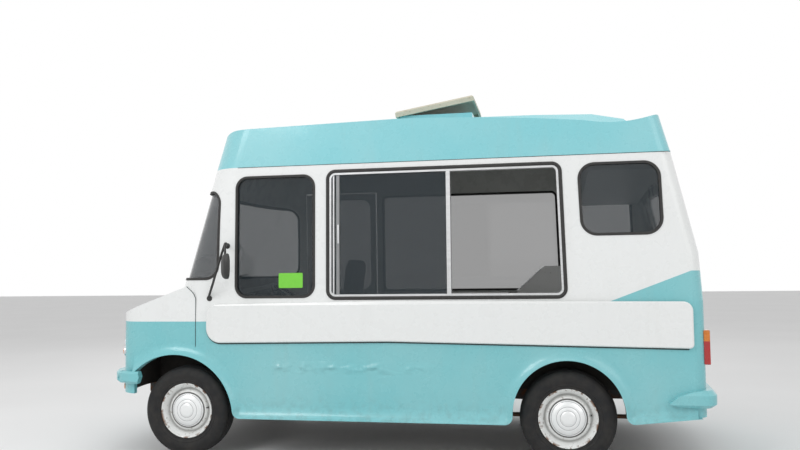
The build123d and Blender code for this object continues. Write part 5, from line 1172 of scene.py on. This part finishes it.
# The knob is most of a ball, an arc spun about the rod, on a short neck.
KNOB_RADIUS, KNOB_MIDDLE = 0.024, 0.026
turn = np.linspace(0.9, 3.08, 9)
ball = np.stack([KNOB_RADIUS * np.sin(turn), KNOB_MIDDLE - KNOB_RADIUS * np.cos(turn)], axis=1)
KNOB = np.concatenate([((0.009, -0.004), (0.013, 0.004)), ball])
BOOT = (
    (0.060, -0.002), (0.058, 0.010), (0.044, 0.016), (0.046, 0.024),
    (0.032, 0.032), (0.033, 0.040), (0.016, 0.050), (0.0065, 0.058),
)
cover_top, _ = seated("cab_boxes", (FRONT_X + 0.280, 0.060, 2.0), (0, 0, -1))
tube("gear_lever", [cover_top + Vector(step) for step in LEVER], LEVER_RADIUS, chrome)
knob_place = cover_top + Vector((0.060, 0.020, 0.200))
spun("gear_knob", KNOB, knob_place, (0.25, 0.08, 1), black_plastic, slot="dash_plastic", steps=32)
spun("gear_boot", BOOT, cover_top, (0.05, 0.02, 1), rubber, slot="dash_plastic", steps=40)

# Seats: foam cushions and backs in sewn covers of black vinyl, with grey piping round the front edge.
# Pads rest flat on their boxes, and backs lean eight degrees. Each cover is swollen by cloth simulation.
vinyl = mottled(
    "black_seat_vinyl", "seat_vinyl", 0.45, (14.0, 5.0), (0.016, 0.016, 0.018), (0.050, 0.050, 0.052),
    (380.0, 2.0, 0.35, 0.0005),
)
piping_vinyl = mottled(
    "grey_piping_vinyl", "seat_vinyl", 0.4, (60.0, 3.0), (0.10, 0.10, 0.105), (0.19, 0.19, 0.19),
    (500.0, 2.0, 0.2, 0.0003),
)
COVER_POWER, COVER_GRAIN, COVER_PRESSURE = 0.30, 0.006, 4.0
SWELL_LIMIT, CLOTH_FRAMES = 0.016, 20
CHANNEL_PITCH, CHANNEL_COUNT, CHANNEL_DEPTH, CHANNEL_WIDTH = 0.062, 6, 0.006, 0.0065
WELT_POWER, WELT_LEVEL, WELT_POINTS = 0.45, 0.026, 96
SEAT_Y = 0.470
BACK_FOOT_X, BACK_FOOT_Z = FRONT_X + 0.870, 0.902
PIPING_RADIUS = 0.0038


def vertex_places(mesh):
    """A mesh's vertices as an array, one row each."""
    places = np.zeros(len(mesh.vertices) * 3)
    mesh.vertices.foreach_get("co", places)
    return places.reshape(-1, 3)


def stuffed(name, half):
    """A stuffed cover: a box of rounded powers, remeshed, swollen by air pressure and capped.

    Its form before swelling is half * sign(w) * |w|**power for each part w of a unit ball's point.
    """
    rise = np.linspace(-np.pi / 2, np.pi / 2, 40)[1:-1, None]
    turn = np.linspace(0, 2 * np.pi, 72, endpoint=False)[None, :]
    ball = np.stack([np.cos(rise) * np.cos(turn), np.cos(rise) * np.sin(turn), np.sin(rise) + 0 * turn], axis=-1)
    start = surface(name, np.array(half) * swelled(ball, COVER_POWER), vinyl, None, capped=True)
    remesh = start.modifiers.new("even", "REMESH")
    remesh.mode = "VOXEL"
    remesh.voxel_size = COVER_GRAIN
    even = bpy.data.meshes.new_from_object(start.evaluated_get(bpy.context.evaluated_depsgraph_get()))
    bpy.data.objects.remove(start)
    before = vertex_places(even)
    cover = bpy.data.objects.new(f"{name}_cover", even)
    bpy.context.collection.objects.link(cover)
    cloth = cover.modifiers.new("swell", "CLOTH")
    cloth.settings.use_pressure = True
    cloth.settings.uniform_pressure_force = COVER_PRESSURE
    cloth.settings.effector_weights.gravity = 0.0
    cloth.settings.quality = 5
    cloth.point_cache.frame_end = CLOTH_FRAMES
    for number in range(1, CLOTH_FRAMES + 1):
        bpy.context.scene.frame_set(number)
    move = vertex_places(cover.evaluated_get(bpy.context.evaluated_depsgraph_get()).to_mesh()) - before
    bpy.data.objects.remove(cover)
    bpy.context.scene.frame_set(1)
    length = np.linalg.norm(move, axis=1)[:, None]
    return even, before + move * np.minimum(1.0, SWELL_LIMIT / np.maximum(length, 1e-9))


def channelled(points, out_axis, reach):
    """Sewn channels: grooves of a bell section, depth * exp(-(d / width)**2), across the van in one face."""
    lines = (np.arange(CHANNEL_COUNT) - (CHANNEL_COUNT - 1) / 2) * CHANNEL_PITCH
    groove = np.exp(-(((points[:, 1:2] - lines) / CHANNEL_WIDTH) ** 2)).max(axis=1)
    fade = np.clip((reach - np.abs(points[:, 2 - out_axis])) / 0.03, 0, 1)
    points[:, out_axis] -= CHANNEL_DEPTH * groove * fade * np.clip(points[:, out_axis] / 0.02, 0, 1)
    return points


# Columns: piece, half sizes, axis and way of its face, channel reach, lowest place, where the piping is
# looked for, middle, lean
CUSHIONS = (
    ("seat_pad", (0.205, 0.224, 0.036), 2, 1.0, 0.150, -0.0495, 0.32, (FRONT_X + 0.680, 0.0, 0.850), 0.0),
    ("seat_back", (0.036, 0.219, 0.254), 0, -1.0, 0.200, -1.0, 0.36, (FRONT_X + 0.865, 0.0, 1.1705), 8.0),
)
for kind, half, out_axis, way, reach, lowest, welt_reach, middle_place, lean in CUSHIONS:
    even, points = stuffed(kind, half)
    points[:, 2] = np.maximum(points[:, 2], lowest)
    mirror = np.ones(3)
    mirror[out_axis] = way
    points = channelled(points * mirror, out_axis, reach) * mirror
    faces = [tuple(p.vertices) for p in even.polygons]
    tree = BVHTree.FromPolygons(points.tolist(), faces)
    angle = np.linspace(0, 2 * np.pi, WELT_POINTS, endpoint=False)
    circle = np.stack([np.cos(angle), np.sin(angle)], axis=1)
    inward = np.zeros((WELT_POINTS, 3))
    inward[:, [axis for axis in range(3) if axis != out_axis]] = -swelled(circle, WELT_POWER)
    outside = -inward * welt_reach
    outside[:, out_axis] = way * WELT_LEVEL
    lines = zip(outside, inward)
    welt = np.array([tree.ray_cast(Vector(start), Vector(aim).normalized())[0] for start, aim in lines])
    turn = math.radians(lean)
    tilt = np.array([[math.cos(turn), 0, math.sin(turn)], [0, 1, 0], [-math.sin(turn), 0, math.cos(turn)]])
    for side_name, sign in SIDES:
        pivot = np.array([BACK_FOOT_X, sign * SEAT_Y, BACK_FOOT_Z])
        where = np.array(middle_place) + np.array([0, sign * SEAT_Y, 0])
        mesh = bpy.data.meshes.new(f"{kind}_{side_name}")
        mesh.from_pydata(((points + where - pivot) @ tilt.T + pivot).tolist(), [], faces)
        pad = shown(f"{kind}_{side_name}", mesh, vinyl, crease=180)
        if pad.name == "seat_pad_left":
            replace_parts(pad, "seats")
        path = (welt + where - pivot) @ tilt.T + pivot
        tube(f"{kind}_piping_{side_name}", path, PIPING_RADIUS, piping_vinyl, sides=8, loop=True)


# Door furniture: a chromed lever handle on a round plate with a lock barrel below it, bolted through the
# skin of each door.
LEVER_PLATE = ((0.026, -0.002), (0.026, 0.003), (0.022, 0.006), (0.0004, 0.0065))
BARREL = (
    (0.0125, -0.002), (0.0125, 0.004), (0.0105, 0.0065), (0.0065, 0.0065), (0.0060, 0.0045), (0.0004, 0.0045),
)
LOCK_DROP = Vector((0, 0, -0.060))
HANDLE_RADIUS = 0.0072
# Columns: along the lever, off the door
BEND = (
    (0.0, 0.002), (0.001, 0.022), (0.010, 0.033), (0.030, 0.036), (0.075, 0.036), (0.098, 0.031), (0.106, 0.022),
)
# Columns: door, start and aim of the line that seats the handle, way of the lever
HANDLES = (
    ("driver_door", (-0.575, 3.0, 1.085), (0, -1, 0), (-1, 0, 0)),
    ("rear_door", (3.0, 0.095, 1.085), (-1, 0, 0), (0, 1, 0)),
)
for door, start, aim, way in HANDLES:
    place, normal = seated(door, start, aim)
    spun(f"{door}_handle_plate", LEVER_PLATE, place, normal, chrome, door, steps=40)
    path = [place + Vector(way) * along + normal * off for along, off in BEND]
    tube(f"{door}_handle_lever", path, HANDLE_RADIUS, chrome, door)
    seat = seated(door, Vector(start) + LOCK_DROP, aim)
    spun(f"{door}_handle_lock", BARREL, *seat, chrome, door, steps=28)

# Fuel cap: a black moulded cap with a raised grip and a hollow top, screwed on the filler in the right
# skirt above the tank.
FUEL_CAP_X, FUEL_CAP_Z = -0.02, 0.700
FUEL_CAP = (
    (0.0400, -0.002), (0.0400, 0.003), (0.0345, 0.005), (0.0345, 0.020),
    (0.0315, 0.0245), (0.0200, 0.026), (0.0190, 0.0235), (0.0004, 0.0235),
)
seat = seated("skirts side_right", (FUEL_CAP_X, 3.0, FUEL_CAP_Z), (0, -1, 0))
spun("fuel_cap", FUEL_CAP, *seat, black_plastic, slot="dash_plastic", steps=48)

# Bumper bolts: chromed domed heads that hold the blades to their irons. A bolt is left out where the
# blade is too near the van's end for its head.
BOLT = ((0.0150, -0.002), (0.0145, 0.003), (0.0115, 0.0068), (0.0060, 0.0090), (0.0003, 0.0098))
BOLT_Z, BOLT_LIMIT_X = 0.555, 2.146
for number, bolt_y in enumerate((-0.78, -0.36, 0.36, 0.78)):
    for end_name, start_x, way in (("front", -3.0, 1), ("rear", 3.0, -1)):
        place, normal = seated("bumpers", (start_x, bolt_y, BOLT_Z), (way, 0, 0))
        if abs(place.x) < BOLT_LIMIT_X:
            spun(f"bumper_bolt_{end_name}_{number}", BOLT, place, normal, chrome, steps=20)
